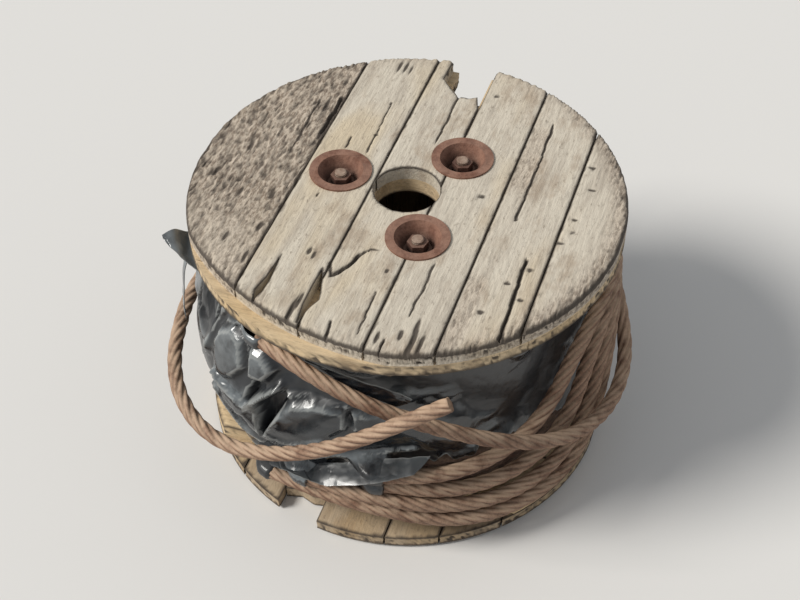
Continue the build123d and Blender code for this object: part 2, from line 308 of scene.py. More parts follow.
def stretched(tree, place, scale):
    """A place with each axis scaled by itself, which stretches the pattern that reads it."""
    return node(tree, "ShaderNodeVectorMath", {0: place, 1: scale}, operation="MULTIPLY").outputs[0]


def noise(tree, place, scale, detail, roughness):
    """Smooth noise at a place, from 0 to 1."""
    links = {"Vector": place, "Scale": scale, "Detail": detail, "Roughness": roughness}
    return node(tree, "ShaderNodeTexNoise", links).outputs["Fac"]


def bump(tree, height, distance, strength, under=None):
    """A normal bent by a height, with another bent normal under it where one is given."""
    links = {"Strength": strength, "Distance": distance, "Height": height}
    if under is not None:
        links["Normal"] = under
    return node(tree, "ShaderNodeBump", links).outputs["Normal"]


def new_group(name, inputs, outputs):
    """An empty node group with its sockets, and its two end nodes."""
    group = bpy.data.node_groups.new(name, "ShaderNodeTree")
    for label, kind, default in inputs:
        socket = group.interface.new_socket(label, in_out="INPUT", socket_type="NodeSocket" + kind)
        if default is not None:
            socket.default_value = default
    for label, kind in outputs:
        group.interface.new_socket(label, in_out="OUTPUT", socket_type="NodeSocket" + kind)
    return group, group.nodes.new("NodeGroupInput").outputs, group.nodes.new("NodeGroupOutput").inputs


def place_group(tree, group, links):
    """A node group set into a material, with its inputs linked or set, and its outputs."""
    return node(tree, "ShaderNodeGroup", links, node_tree=group).outputs


# %% Blotches and dust
blotches, taken, given = new_group(
    "blotches",
    [("Place", "Vector", None), ("Scale", "Float", 30.0), ("Low", "Float", 0.4), ("High", "Float", 0.65)],
    [("Mask", "Float")],
)
spread = noise(blotches, taken["Place"], taken["Scale"], 4.0, 0.6)
blotches.links.new(ramp(blotches, spread, taken["Low"], taken["High"]), given["Mask"])

dust, taken, given = new_group(
    "dust_on_level_faces",
    [
        ("Place", "Vector", None), ("Amount", "Float", 0.5), ("Scale", "Float", 45.0),
        ("From", "Float", 0.1), ("To", "Float", 0.9),
    ],
    [("Mask", "Float")],
)
facing = node(dust, "ShaderNodeNewGeometry").outputs["Normal"]
upward = node(dust, "ShaderNodeSeparateXYZ", {0: facing}).outputs["Z"]
level = ramp(dust, upward, taken["From"], taken["To"])
patches = ramp(dust, noise(dust, taken["Place"], taken["Scale"], 4.0, 0.6), 0.3, 0.6)
settled = combine(dust, "MULTIPLY", level, patches)
dust.links.new(combine(dust, "MULTIPLY", settled, taken["Amount"]), given["Mask"])
print("shared effects:", blotches.name, dust.name)

# %% [markdown]
# The loose rope
#
# Five turns have sprung off the winding, and the rope's free end stands out at the left and the front. Each
# one follows the same route as its solid in the frame, as the control points of a smooth line. The rope is
# six strands laid round each other. Its outline across is six round lobes, and that outline is carried
# along the line while it turns once in each lay, which is about six and a half diameters for such a rope.
# The lines of the single wires run along the rope, too fine for geometry, so they are left to the bump.

# %% Routes of the loose rope: (radius, azimuth in degrees, height)
rope_diameter = 16.0
loose_routes = {
    "rope_tail": [
        (221, 147, 147), (229, 157.5, 149), (238.5, 168, 151), (247, 179, 153), (255, 189, 154),
        (267, 198, 151), (276, 207, 143), (276, 216, 133), (267, 225, 130), (256, 234, 141),
        (251, 243, 162), (250, 252, 189), (250, 261, 219), (250, 270, 247), (250, 279, 267),
    ],
    "loose_turn_1": [
        (222, 229, 274), (226, 239, 271), (226, 250, 255), (227, 262, 234), (229, 274, 213),
        (234, 286, 189), (240, 297, 165), (245, 307, 144), (248, 317, 127), (251, 327, 118),
        (252, 336, 123.5), (248.5, 343.5, 138.5), (240, 349.5, 160), (231, 355.5, 181), (224.5, 3, 195),
        (221.5, 14, 201), (220.5, 25, 202),
    ],
    "loose_turn_2": [
        (224, 262, 122), (224, 273, 120), (223.5, 284, 123), (222.5, 295, 131), (222, 305, 148),
        (222, 312.5, 178), (222.5, 316.5, 208), (223.5, 321.5, 235), (223.5, 328.5, 255),
        (222.5, 337, 267), (221.5, 347, 272), (220.5, 358, 273),
    ],
    "loose_turn_3": [
        (222, 262, 105), (223, 272, 98), (224, 283, 92), (225, 294, 92), (225.5, 304.5, 99),
        (226, 313.5, 114), (226, 320.5, 142), (226, 324.5, 182), (226, 328.5, 211),
        (225.5, 334, 233), (224.5, 341.5, 248), (222.5, 350.5, 254.5), (220.5, 1, 255.5),
    ],
    "loose_turn_4": [
        (231, 242, 97), (230, 253, 95), (229, 264, 87), (229, 275, 77), (230, 287, 69),
        (231, 299, 66), (231, 311, 71), (231, 321, 88), (230, 328, 118), (229, 332, 155),
        (228, 335.5, 187), (226.5, 341, 212), (225, 348.5, 229), (222.5, 358, 236.5), (220.5, 8.5, 238),
    ],
    "loose_turn_5": [
        (229, 229, 66), (229, 240, 76), (229, 252, 76), (230, 264, 70), (232, 276, 56),
        (234, 288, 47), (235, 299, 46), (236, 310, 49), (235.5, 320, 60), (234, 328.5, 83),
        (232, 334.5, 117), (230, 338.5, 153), (228, 343.5, 185), (225.5, 351, 207), (223, 1, 218),
        (220.5, 12, 220.5),
    ],
}


def around(radius, azimuth, height):
    """Points at a radius, an azimuth in degrees and a height, about the drum's axis."""
    turn = np.radians(azimuth)
    return np.stack([radius * np.cos(turn), radius * np.sin(turn), height + 0 * turn], -1)


# %% The smooth line of a route
def smooth_line(name, control_points):
    """Points along the NURBS line of order 3 whose control points are the route's, from end to end."""
    curve = bpy.data.curves.new(name + "_line", "CURVE")
    curve.dimensions = "3D"
    spline = curve.splines.new("NURBS")
    spline.points.add(len(control_points) - 1)
    weighted = np.hstack([control_points * MM, np.ones((len(control_points), 1))])
    spline.points.foreach_set("co", weighted.ravel())
    spline.order_u = 3
    spline.use_endpoint_u = True
    spline.resolution_u = 16
    holder = bpy.data.objects.new(name + "_line", curve)
    line = bpy.data.meshes.new_from_object(holder)
    points = mesh_points(line)
    bpy.data.objects.remove(holder)
    bpy.data.meshes.remove(line)
    return points


def evenly_spaced(points, spacing):
    """The same line with its points an even distance apart, and how far along it each one lies."""
    steps = np.linalg.norm(np.diff(points, axis=0), axis=1)
    along = np.concatenate([[0], np.cumsum(steps)])
    wanted = np.linspace(0, along[-1], int(round(along[-1] / spacing)) + 1)
    return np.stack([np.interp(wanted, along, axis) for axis in points.T], -1), wanted


# %% The stranded rope
strand_count = 6
strand_radius = 2.85
strand_circle = rope_diameter / 2 - strand_radius
groove_fill = 6.55
groove_blend = 0.08
rope_lay = 104.0
points_round = 48
ring_spacing = 2.8
wire_lines = 48.0
end_shares = (0.0, 0.5, 0.93)
end_rise = 0.4


def strand_outline(angle):
    """How far the outside of six round strands lies from the rope's middle, at an angle round it.

    Beside the nearest strand's centre, at offset d, it is c cos d + sqrt(s^2 - c^2 sin^2 d), with c the
    circle of strand centres and s the strand's radius. Grease and dirt fill the grooves up to a level of
    their own.
    """
    sector = 2 * pi / strand_count
    offset = (angle + sector / 2) % sector - sector / 2
    side = strand_circle * np.sin(offset)
    bare = strand_circle * np.cos(offset) + np.sqrt(strand_radius**2 - side**2)
    return 0.5 * (bare + groove_fill + np.sqrt((bare - groove_fill) ** 2 + groove_blend))


def groove_share(reach):
    """1 at the bottom of a groove and 0 on a strand's crown."""
    return np.clip(1 - (reach - groove_fill) / (rope_diameter / 2 - groove_fill), 0, 1)


def rope_surface(line, along):
    """Rings of the strand outline carried along a line, turned once in each lay, with rounded closed ends.

    Each ring stands on the line's direction and on the way out from the drum's axis. Three more rings at
    either end shrink to a point.
    """
    ahead = unit(np.gradient(line, axis=0))
    outward = line * (1, 1, 0)
    outward = unit(outward - ahead * np.sum(outward * ahead, axis=1, keepdims=True))
    upright = np.cross(ahead, outward)
    angle = np.linspace(0, 2 * pi, points_round, endpoint=False)
    turn = 2 * pi * along / rope_lay
    reach = np.tile(strand_outline(angle), (len(line), 1))
    lean = angle[None, :] + turn[:, None]
    rings = line[:, None] + reach[..., None] * (
        np.cos(lean)[..., None] * outward[:, None] + np.sin(lean)[..., None] * upright[:, None]
    )
    first = [line[:1, None] + share * (rings[:1] - line[:1, None]) for share in end_shares]
    last = [line[-1:, None] + share * (rings[-1:] - line[-1:, None]) for share in end_shares[::-1]]
    first[-1] = first[-1] - end_rise * ahead[0]
    last[0] = last[0] + end_rise * ahead[-1]
    rings = np.concatenate([*first, rings, *last])
    along = np.concatenate([[along[0]] * len(first), along, [along[-1]] * len(last)])
    place = np.stack(
        np.broadcast_arrays(angle[None, :] / (2 * pi), along[:, None] / rope_lay, np.zeros((1, 1))), -1
    )
    groove = np.tile(groove_share(strand_outline(angle)), (len(rings), 1))
    return rings, place, groove


# %% Rusty steel for the rope
rope_dust = (0.54, 0.39, 0.27, 1)


def rope_material(name, lit_colour, deep_colour, dust_amount):
    """Rusty wire rope: brown strands, dark oily grooves between them, wires as fine lines along the rope."""
    red, green, blue = lit_colour
    dark_colour = (red * 0.55, green * 0.45, blue * 0.4, 1)
    material, tree, shader = new_material(name, roughness=0.72)
    place = attribute(tree, "rope_place", "Vector")
    solid = node(tree, "ShaderNodeTexCoord").outputs["Object"]
    groove = attribute(tree, "groove")
    speckle = noise(tree, solid, 420.0, 4.0, 0.7)
    patch = place_group(tree, blotches, {"Place": solid, "Scale": 28.0, "Low": 0.4, "High": 0.66})["Mask"]
    rust = mix_colours(tree, patch, (*lit_colour, 1), dark_colour)
    rust = mix_colours(tree, ramp(tree, speckle, 0.45, 0.72, 0.0, 0.5), rust, (*deep_colour, 1))
    rust = mix_colours(tree, ramp(tree, groove, 0.3, 1.0, 0.0, 0.48), rust, (*deep_colour, 1))
    settled = place_group(tree, dust, {"Place": solid, "Amount": dust_amount})["Mask"]
    rust = mix_colours(tree, settled, rust, rope_dust)
    tree.links.new(rust, shader.inputs["Base Color"])
    tree.links.new(ramp(tree, speckle, 0.3, 0.7, 0.6, 0.9), shader.inputs["Roughness"])
    wires = node(tree, "ShaderNodeSeparateXYZ", {0: place})
    twist = combine(tree, "ADD", wires.outputs["X"], wires.outputs["Y"])
    wave = combine(tree, "SINE", combine(tree, "MULTIPLY", twist, pi * wire_lines))
    bent = bump(tree, combine(tree, "ABSOLUTE", wave), 0.0005, 0.35)
    tree.links.new(bump(tree, speckle, 0.0006, 0.5, bent), shader.inputs["Normal"])
    return material


loose_rope_rust = rope_material("loose_rope_rust", (0.33, 0.205, 0.135), (0.045, 0.025, 0.016), 0.75)

# %% Lay the loose ropes
for name, route in loose_routes.items():
    line, along = evenly_spaced(smooth_line(name, around(*np.array(route, float).T)), ring_spacing)
    rings, place, groove = rope_surface(line, along)
    faces = grid_faces(len(rings), points_round, closed_columns=True)
    kept = {"rope_place": place.reshape(-1, 3), "groove": groove.ravel()}
    mesh = build_mesh(name + "_strands", rings.reshape(-1, 3), faces, kept, weld=0.01)
    strands = add_piece(name + "_strands", mesh, loose_rope_rust, "wire_rope", name)

# %% [markdown]
# Boards that follow their own outline
#
# Each flange is two layers of boards, and the frame gives every board as a plain flat solid with its holes
# and broken ends. To weather a board, its faces need many small cells. The outline is read from the board's
# own flat face, so the new piece fits the frame exactly: a grid is laid over it, cells whose middle is
# outside are dropped, and the points left on the edge are moved onto the outline. The same grid makes the
# upper and the lower face, and walls in a few rows join them. A depth worked out for each point then sinks
# grain, cracks, knocks and worn edges into the wood, and never raises it, so each board stays inside its
# solid.

# %% Board coordinates and outlines
grain_angle = 71.0
inner_turn = 90.0
ply_thickness = 17.5


def to_board(points, turn):
    """Level points as (across the boards, along their grain), for a ply turned about the drum's axis."""
    angle = radians(grain_angle - 90 + turn)
    across = points[..., 0] * cos(angle) + points[..., 1] * sin(angle)
    along = points[..., 1] * cos(angle) - points[..., 0] * sin(angle)
    return np.stack([across, along], -1)


def from_board(across, along, turn):
    """The x and y of a place on a ply's boards."""
    angle = radians(grain_angle - 90 + turn)
    return across * cos(angle) - along * sin(angle), across * sin(angle) + along * cos(angle)


def face_outline(name, height, turn):
    """The edges round a CAD board's flat face at a height: those that belong to only one of its triangles."""
    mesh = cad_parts[name].data
    points = mesh_points(mesh)
    mesh.calc_loop_triangles()
    triangles = np.zeros(len(mesh.loop_triangles) * 3, np.int32)
    mesh.loop_triangles.foreach_get("vertices", triangles)
    triangles = triangles.reshape(-1, 3)
    flat = triangles[np.all(np.abs(points[triangles][..., 2] - height) < 0.02, axis=1)]
    spots, spot_of = np.unique(np.round(to_board(points[:, :2], turn), 3), axis=0, return_inverse=True)
    edges = np.sort(spot_of.reshape(-1)[flat[:, [0, 1, 1, 2, 2, 0]]].reshape(-1, 2), axis=1)
    edges, uses = np.unique(edges, axis=0, return_counts=True)
    return spots[edges[uses == 1]]


def outline_distance(points, outline):
    """How far each point lies inside an outline, negative outside, and the outline's nearest spot to it.

    The nearest spot of one edge is its start plus the clipped share of its run. A point is inside if the
    level ray from it crosses an odd number of edges.
    """
    nearest = np.zeros(points.shape)
    shortest = np.full(len(points), np.inf)
    crossings = np.zeros(len(points), int)
    for start, end in outline:
        run = end - start
        share = np.clip((points - start) @ run / (run @ run), 0, 1)
        spot = start + share[:, None] * run
        distance = np.linalg.norm(points - spot, axis=1)
        closer = distance < shortest
        shortest[closer] = distance[closer]
        nearest[closer] = spot[closer]
        if run[1] != 0:
            height_share = (points[:, 1] - start[1]) / run[1]
            level = (height_share >= 0) & (height_share < 1)
            crossings += level & (points[:, 0] < start[0] + height_share * run[0])
    return np.where(crossings % 2 == 1, shortest, -shortest), nearest


def sharp_corners(outline, least_turn=35):
    """The spots of an outline where its two edges turn by more than an angle."""
    spots, ends = np.unique(np.round(outline.reshape(-1, 2), 3), axis=0, return_inverse=True)
    ends = ends.reshape(-1, 2)
    directions = unit(outline[:, 1] - outline[:, 0])
    away = np.zeros((len(spots), 2))
    np.add.at(away, ends[:, 0], directions)
    np.add.at(away, ends[:, 1], -directions)
    return spots[np.linalg.norm(away, axis=1) > 2 * sin(radians(least_turn / 2))]


# %% A board's grid and its solid
wall_rows = 4
least_thickness = 0.6
least_gap = 0.5
darkest_push = 1.5


def board_grid(outline, cell):
    """The kept cells of a grid over an outline, with the points on its edge moved onto the outline."""
    low, high = outline.reshape(-1, 2).min(0), outline.reshape(-1, 2).max(0)
    counts = np.ceil((high - low) / cell).astype(int) + 1
    across, along = np.meshgrid(
        np.linspace(low[0], high[0], counts[0]), np.linspace(low[1], high[1], counts[1]), indexing="ij"
    )
    points = np.stack([across.ravel(), along.ravel()], -1)
    quads = grid_faces(*counts)
    inside, _ = outline_distance(points[quads].mean(1), outline)
    quads = quads[inside > 0]
    used, renumbered = np.unique(quads, return_inverse=True)
    points, quads = points[used], renumbered.reshape(-1, 4)
    edges = quads[:, [0, 1, 1, 2, 2, 3, 3, 0]].reshape(-1, 2)
    _, first, uses = np.unique(np.sort(edges, axis=1), axis=0, return_index=True, return_counts=True)
    rim_edges = edges[first[uses == 1]]
    rim = np.unique(rim_edges)
    points[rim] = outline_distance(points[rim], outline)[1]
    for corner in sharp_corners(outline):
        gaps = np.linalg.norm(points[rim] - corner, axis=1)
        if gaps.min() < cell[1]:
            points[rim[np.argmin(gaps)]] = corner
    return points, quads, rim_edges, rim


def board_solid(name, turn, outline, base, top, cell, upper_wear, lower_wear, wall_wear):
    """A closed board: two worn faces on one grid, and walls whose rows are pushed in by their own wear."""
    points, quads, rim_edges, rim = board_grid(outline, cell)
    inside, _ = outline_distance(points, outline)
    inside = np.maximum(inside, 0)
    across, along = points.T
    upper_depth, upper_dirt_and_shade = upper_wear(across, along, inside)
    lower_depth, lower_dirt_and_shade = lower_wear(across, along, inside)
    most = (top - base) - least_thickness
    upper_z = top - np.clip(upper_depth, 0, most)
    lower_z = np.minimum(base + np.clip(lower_depth, 0, most), upper_z - least_gap)

    # The cells run clockwise, so the board lies to the right of each edge
    ahead = points[rim_edges[:, 1]] - points[rim_edges[:, 0]]
    inward = np.zeros(points.shape)
    for end in (0, 1):
        np.add.at(inward, rim_edges[:, end], np.stack([ahead[:, 1], -ahead[:, 0]], -1))
    inward = unit(inward)

    rows = []
    for row in range(1, wall_rows):
        share = row / wall_rows
        height = upper_z[rim] * (1 - share) + lower_z[rim] * share
        push = wall_wear(across[rim], along[rim], height)
        place = points[rim] + push[:, None] * inward[rim]
        # A wall that is pushed in gets a darker share: dirt and painted shade
        rows.append(np.column_stack([place, height, np.clip(push / darkest_push, 0, 1)]))
    upper = np.column_stack([points, upper_z, upper_dirt_and_shade])
    lower = np.column_stack([points, lower_z, lower_dirt_and_shade])
    every = np.concatenate([upper, lower, *rows])

    count = len(points)
    place_in_rim = np.zeros(count, int)
    place_in_rim[rim] = np.arange(len(rim))
    ladder = [rim_edges]
    ladder += [2 * count + row * len(rim) + place_in_rim[rim_edges] for row in range(wall_rows - 1)]
    ladder.append(count + rim_edges)
    walls = [
        np.column_stack([high[:, 1], high[:, 0], low[:, 0], low[:, 1]])
        for high, low in zip(ladder[:-1], ladder[1:])
    ]
    faces = np.concatenate([quads, count + quads[:, ::-1], *walls])
    x, y = from_board(every[:, 0], every[:, 1], turn)
    tone = weather_tone(every[:, 0], every[:, 1]) if base > 2 * ply_thickness else 0 * every[:, 0]
    shaded = np.full(len(every), float(base < 2 * ply_thickness))
    kept = {"board_place": every[:, :3] * MM, "dirt_and_shade": every[:, 3], "tone": tone, "shaded": shaded}
    return build_mesh(name, np.column_stack([x, y, every[:, 2]]), faces, kept, sharp_angle=50)


# %% [markdown]
# How wood wears
#
# Sun and rain wear the soft wood between the grain's hard lines, so the grain stands out as fine ridges.
# The sawn edges round off, and a rim that was rolled on the ground frays. Cracks, called checks, open along
# the grain. Each of these is a depth in millimetres at a place on the boards, and a share from 0 to 1 that
# says how dark the place is, with dirt and painted shade in cracks, knocks, pits and frayed edges.

# %% Kinds of wear
rim_wear = 3.0
worn_arc_radius = 310.0
worn_arc_middle = (33.5, 87.3)
middle_board = mesh_points(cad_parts["bottom_outer_board_4"].data)
flange_radius = np.hypot(*middle_board[:, :2].T).max()
nut_boxes = [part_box(f"bolt_nut_{number}") for number in (1, 2, 3)]
bolt_places = np.array([[(low + high) / 2 / MM for low, high in zip(*box)][:2] for box in nut_boxes])
cup_rim = 33.0
seat_mouth = 27.0
seat_floor = 17.5
cup_sheet = 2.0
bolt_hole = 7.2
groove_inner = 80.5
groove_outer = 111.5
groove_depth = 6.2
covered_radius = 190


def gap_to_line(places, corners):
    """How far places lie from a line of straight runs between corners."""
    gaps = []
    for start, end in zip(corners[:-1], corners[1:]):
        run = end - start
        share = np.clip((places - start) @ run / (run @ run), 0, 1)
        gaps.append(np.linalg.norm(places - start - share[..., None] * run, axis=-1))
    return np.minimum.reduce(gaps)


def from_bolts(across, along, turn):
    """How far a place is from the nearest bolt."""
    bolts = to_board(bolt_places, turn)
    gaps = [np.hypot(across - bolt[0], along - bolt[1]) for bolt in bolts]
    return np.minimum.reduce(gaps)


def grain_depth(across, along, seed):
    """Worn grain: noise 23 to 32 times longer along the grain than across it, on lines that wander."""
    wander = across + 5 * value_noise(across / 45, along / 90, seed=seed, octaves=2)
    fine = value_noise(wander / 1.9, along / 60, seed=seed + 1)
    broad = value_noise(wander / 6.5, along / 150, seed=seed + 2)
    return 0.42 * fine**1.5 + 0.3 * broad


def eaten_depth(across, along, seed):
    """Wood eaten away by weather: dense hollows at three sizes, all longer with the grain."""
    wander = across + 7 * value_noise(across / 24, along / 40, seed=seed, octaves=2)
    slant = wander + 0.16 * along
    wide = 1 - ridged_noise(slant / 11, along / 30, seed=seed + 1)
    middle = 1 - ridged_noise(wander / 3.4, along / 10, seed=seed + 2)
    fine = value_noise(slant / 2.3, along / 5.0, seed=seed + 3)
    return 0.6 * wide + 1.3 * middle**0.8 + 1.2 * fine**1.6


def marks_depth(across, along, marks):
    """Knocks: each sinks by its depth times exp(-(u/a)^2 - (v/b)^2), with a and b its half sizes."""
    total = np.zeros(across.shape)
    for middle_across, middle_along, half_across, half_along, depth in marks:
        reach = ((across - middle_across) / half_across) ** 2 + ((along - middle_along) / half_along) ** 2
        total = np.maximum(total, depth * np.exp(-reach))
    return total


def crack_depth(across, along, cracks):
    """Long cracks: each sinks by its depth times exp(-(d/w)^2), at distance d from it, with half width w.

    A noise moves the lines a little to and fro, and another one widens and narrows them on their way.
    """
    total = np.zeros(across.shape)
    wander = 3.2 * (value_noise(across / 40, along / 11, seed=91, octaves=3) - 0.5)
    open_share = 0.55 + 0.8 * value_noise(across / 60, along / 17, seed=92)
    places = np.stack([across + wander, along], -1)
    for width, depth, *line in cracks:
        gap = gap_to_line(places, np.array(line, float))
        total = np.maximum(total, depth * np.exp(-((gap / (width * open_share)) ** 2)))
    return total


def rounded_rim(inside, rim_gap, wear):
    """The drop of a rounded rim, where the edge is the rim: r - sqrt(r^2 - (r - d)^2) at d inside it."""
    short = np.clip(wear - inside, 0, wear)
    return np.where(rim_gap < wear + 1.5, wear - np.sqrt(wear**2 - short**2), 0)


# %% [markdown]
# The top flange's weathered boards
#
# The marks were found on the photograph and are given across and along the boards. The left board is rough
# and pitted, the middle ones are smooth and pale with a few cracks, and the right ones carry short dark
# knocks that lie across the grain.

# %% Marks on the top boards: (across, along, half across, half along, depth)
top_knocks = [
    (-182, 13, 1.3, 6, 1.2), (-201, -37, 1.4, 6, 1.3), (-163, -57, 1.4, 6, 1.2), (-150, -124, 1.6, 7, 1.4),
    (-123, -100, 2.2, 6, 1.6), (-120, -144, 1.6, 8, 1.6), (-118, 60, 1.8, 14, 1.6), (-130, 105, 1.4, 12, 1.4),
    (-49, -198, 2.0, 13, 2.6), (-46, -184, 1.5, 10, 2.0), (-75, 196, 1.8, 11, 1.3), (-68, 197, 1.7, 12, 1.3),
    (-61, 194, 1.6, 10, 1.1), (72, -214, 2.0, 10, 2.2), (73, -199, 2.2, 13, 2.4), (71, -181, 1.6, 10, 1.8),
    (81, -202, 1.6, 12, 2.0), (77, 13, 3.4, 2.6, 1.3), (174, 92, 3.8, 1.9, 1.5), (182, 58, 4.2, 1.9, 1.5),
    (176, 8, 3.4, 1.9, 1.4), (179, -10, 3.0, 1.8, 1.3), (170, -29, 3.8, 1.9, 1.5), (152, -75, 3.8, 1.9, 1.5),
    (136, -99, 3.6, 2.0, 1.5), (154, -117, 3.2, 2.4, 1.5), (122, -144, 3.4, 2.4, 1.5),
    (-60, 72, 2.8, 1.8, 1.2), (46, 178, 3.4, 2.2, 1.0), (12, 84, 2.6, 1.8, 1.1), (20, -120, 2.2, 3.2, 1.4),
    (-62, -118, 2.4, 4.5, 1.4), (-56, -122, 1.6, 6.0, 1.4), (60, -196, 1.8, 6, 1.8), (40, -205, 1.6, 7, 1.8),
    (-70, 8, 2.4, 3.0, 0.8),
]
top_cracks = [
    (1.5, 4.5, (-118, 122), (-117.5, 92), (-118.5, 60)),
    (1.5, 4.5, (-29, -143), (-24, -137), (-19, -127), (-15, -117), (-12.6, -107)),
    (1.1, 2.6, (-12.6, -107), (-9, -101), (-4, -95), (10, -94)),
    (1.0, 2.6, (-36, -128), (-29, -143)),
    (1.2, 3.0, (-6, -219), (-8, -200)),
    (1.2, 3.0, (48, -224), (47, -206)),
    (1.5, 5.0, (145, -62), (147, -112), (148, -169)),
    (1.1, 2.4, (-84, 60), (-83, 5), (-84.5, -40)),
    (1.0, 1.8, (60, -60), (62, -120), (60, -170)),
    (1.0, 2.0, (4, 60), (6, 120), (5, 165)),
    (1.0, 1.8, (-62, 130), (-60, 60), (-61, 30)),
    (1.1, 2.6, (118, 150), (120, 60), (119, -10)),
    (1.0, 1.8, (-140, 110), (-138, 20)),
    (1.0, 1.8, (20, -150), (21, -205)),
]


# %% The top outer ply's wear
def weather_tone(across, along):
    """Where the top boards are browner: the left board, a strip right of the fourth seam, and the rim."""
    left_board = smooth_step(-112, -114, across) * (0.72 + 0.28 * smooth_step(-130, -40, along))
    strip = smooth_step(98, 99.5, across) * (1 - smooth_step(112, 126, across))
    strip *= 0.35 + 0.65 * smooth_step(-0.2, 0.5, np.sin(along / 38.0 - 0.7))
    rim_band = smooth_step(196, 224, np.hypot(across, along)) * (0.35 + 0.4 * smooth_step(60, 200, across))
    return np.clip(np.maximum.reduce([0.95 * left_board, 0.6 * strip, rim_band]), 0, 1)


def top_outer_wear(across, along, inside):
    """Depth, and dirt with painted shade, on the top face of the drum."""
    bolt_gap = from_bolts(across, along, 0)
    calm = smooth_step(cup_rim + 1.5, cup_rim + 11, bolt_gap)
    worn_gap = worn_arc_radius - np.hypot(across - worn_arc_middle[0], along - worn_arc_middle[1])
    rim_gap = np.minimum(flange_radius - np.hypot(across, along), worn_gap)
    near_rim = np.exp(-np.maximum(rim_gap, 0) / 7.0)
    tone = weather_tone(across, along)
    pits = smooth_step(0.5, 0.85, value_noise(across / 2.3, along / 8.0, seed=5, octaves=3))
    eaten = eaten_depth(across, along, 81) * smooth_step(0.3, 0.95, tone)
    frayed = ridged_noise(across / 3.2, along / 26, seed=9, octaves=2)
    marks = marks_depth(across, along, top_knocks)
    cracks = crack_depth(across, along, top_cracks)
    edge = 1.3 * np.exp(-((inside / 1.3) ** 2)) * (0.5 + 0.9 * value_noise(across / 4, along / 14, seed=3))
    grain = grain_depth(across, along, seed=20)
    depth = grain * (0.5 + 0.4 * tone) + pits * (0.35 + 0.5 * tone) + eaten + 2.2 * near_rim * frayed**2
    depth = calm * (depth + marks + cracks) + edge
    depth = depth + rounded_rim(inside, rim_gap, rim_wear)
    cone = (seat_mouth - bolt_gap) / (seat_mouth - seat_floor) * ply_thickness
    # The dark share is dirt and painted shade in knocks, cracks, pits and eaten wood, darkest at the edges
    dirt = marks / 1.2 + cracks / 1.6 + pits * 0.3 + 0.25 * eaten + 0.3 * grain + 0.35 * near_rim * frayed
    dirt = calm * dirt
    dirt = np.clip(dirt + 0.8 * np.exp(-inside / 1.2), 0, 1)
    return np.maximum(depth, cone), dirt


def broken_rim(across, along, height):
    """How far a wall is pushed in: frayed end grain round the rim, and next to nothing at a seam."""
    fray = ridged_noise(across / 2.2, along / 5.0, height / 2.6, seed=31, octaves=2)
    split = smooth_step(0.72, 0.9, value_noise(across / 7, along / 7, height / 1.4, seed=33))
    at_rim = smooth_step(flange_radius - 34, flange_radius - 16, np.hypot(across, along))
    return (0.12 + at_rim * 1.0) * fray**2 + at_rim * 1.6 * split


# %% Wear of the other plies
def plain_wear(seed, rim_side, worn=1.0):
    """A sheltered face: light grain and softened edges, with the flange's rim rounded if rim_side is set."""

    def wear(across, along, inside):
        grain = grain_depth(across, along, seed)
        edge = 0.8 * np.exp(-((inside / 2.0) ** 2))
        drop = rounded_rim(inside, flange_radius - np.hypot(across, along), rim_wear) if rim_side else 0
        # Dirt and painted shade in the grain and along the edges
        dirt = np.clip(0.5 * grain + 0.7 * np.exp(-inside / 1.6), 0, 1)
        return worn * (0.8 * grain + edge) + drop, dirt

    return wear


def flat_face(across, along, inside):
    """A face that lies against another: flat and clean."""
    return np.zeros(across.shape), np.zeros(across.shape)


def grooved_face(across, along, inside):
    """The inner side of an inner ply: worn only outside the winding, with the ring groove for the staves."""
    depth, dirt = plain_wear(51, rim_side=True)(across, along, inside)
    radius = np.hypot(across, along)
    groove = (radius > groove_inner) & (radius < groove_outer)
    return np.where(groove, groove_depth, np.where(radius < covered_radius, 0, depth)), dirt


def foot_face(across, along, inside):
    """The face that the drum stands on: light wear, and seats that hold the bottom cup washers flush."""
    depth, dirt = plain_wear(61, rim_side=True, worn=0.5)(across, along, inside)
    gap = from_bolts(across, along, 0)
    cone = (seat_mouth + 1.2 - gap) / (seat_mouth - seat_floor) * ply_thickness
    seat = np.maximum(np.where(gap < cup_rim + 1.5, cup_sheet + 0.1, 0), cone)
    return np.maximum(depth * smooth_step(cup_rim + 1, cup_rim + 11, gap), seat), dirt


def sunk_cup_face(across, along, inside):
    """A flat face with three shallow rounds for the ends of the bottom cup washers."""
    return np.where(from_bolts(across, along, inner_turn) < seat_floor + 2.5, cup_sheet + 0.1, 0), 0 * across


# %% Wood finishes
eaten_pale = (0.58, 0.49, 0.39, 1)
eaten_dark = (0.20, 0.145, 0.105, 1)
fibre_brown = (0.20, 0.155, 0.115, 1)
speck_brown = (0.17, 0.125, 0.09, 1)
# Dirt and painted shade for cracks, knocks, pits and edges
sunk_dirt_and_shade = (0.045, 0.034, 0.026, 1)
# The bottom outer boards lie in shade and are yellower than the top ones
unbleached = (0.36, 0.225, 0.095, 1)
unbleached_share = 0.6


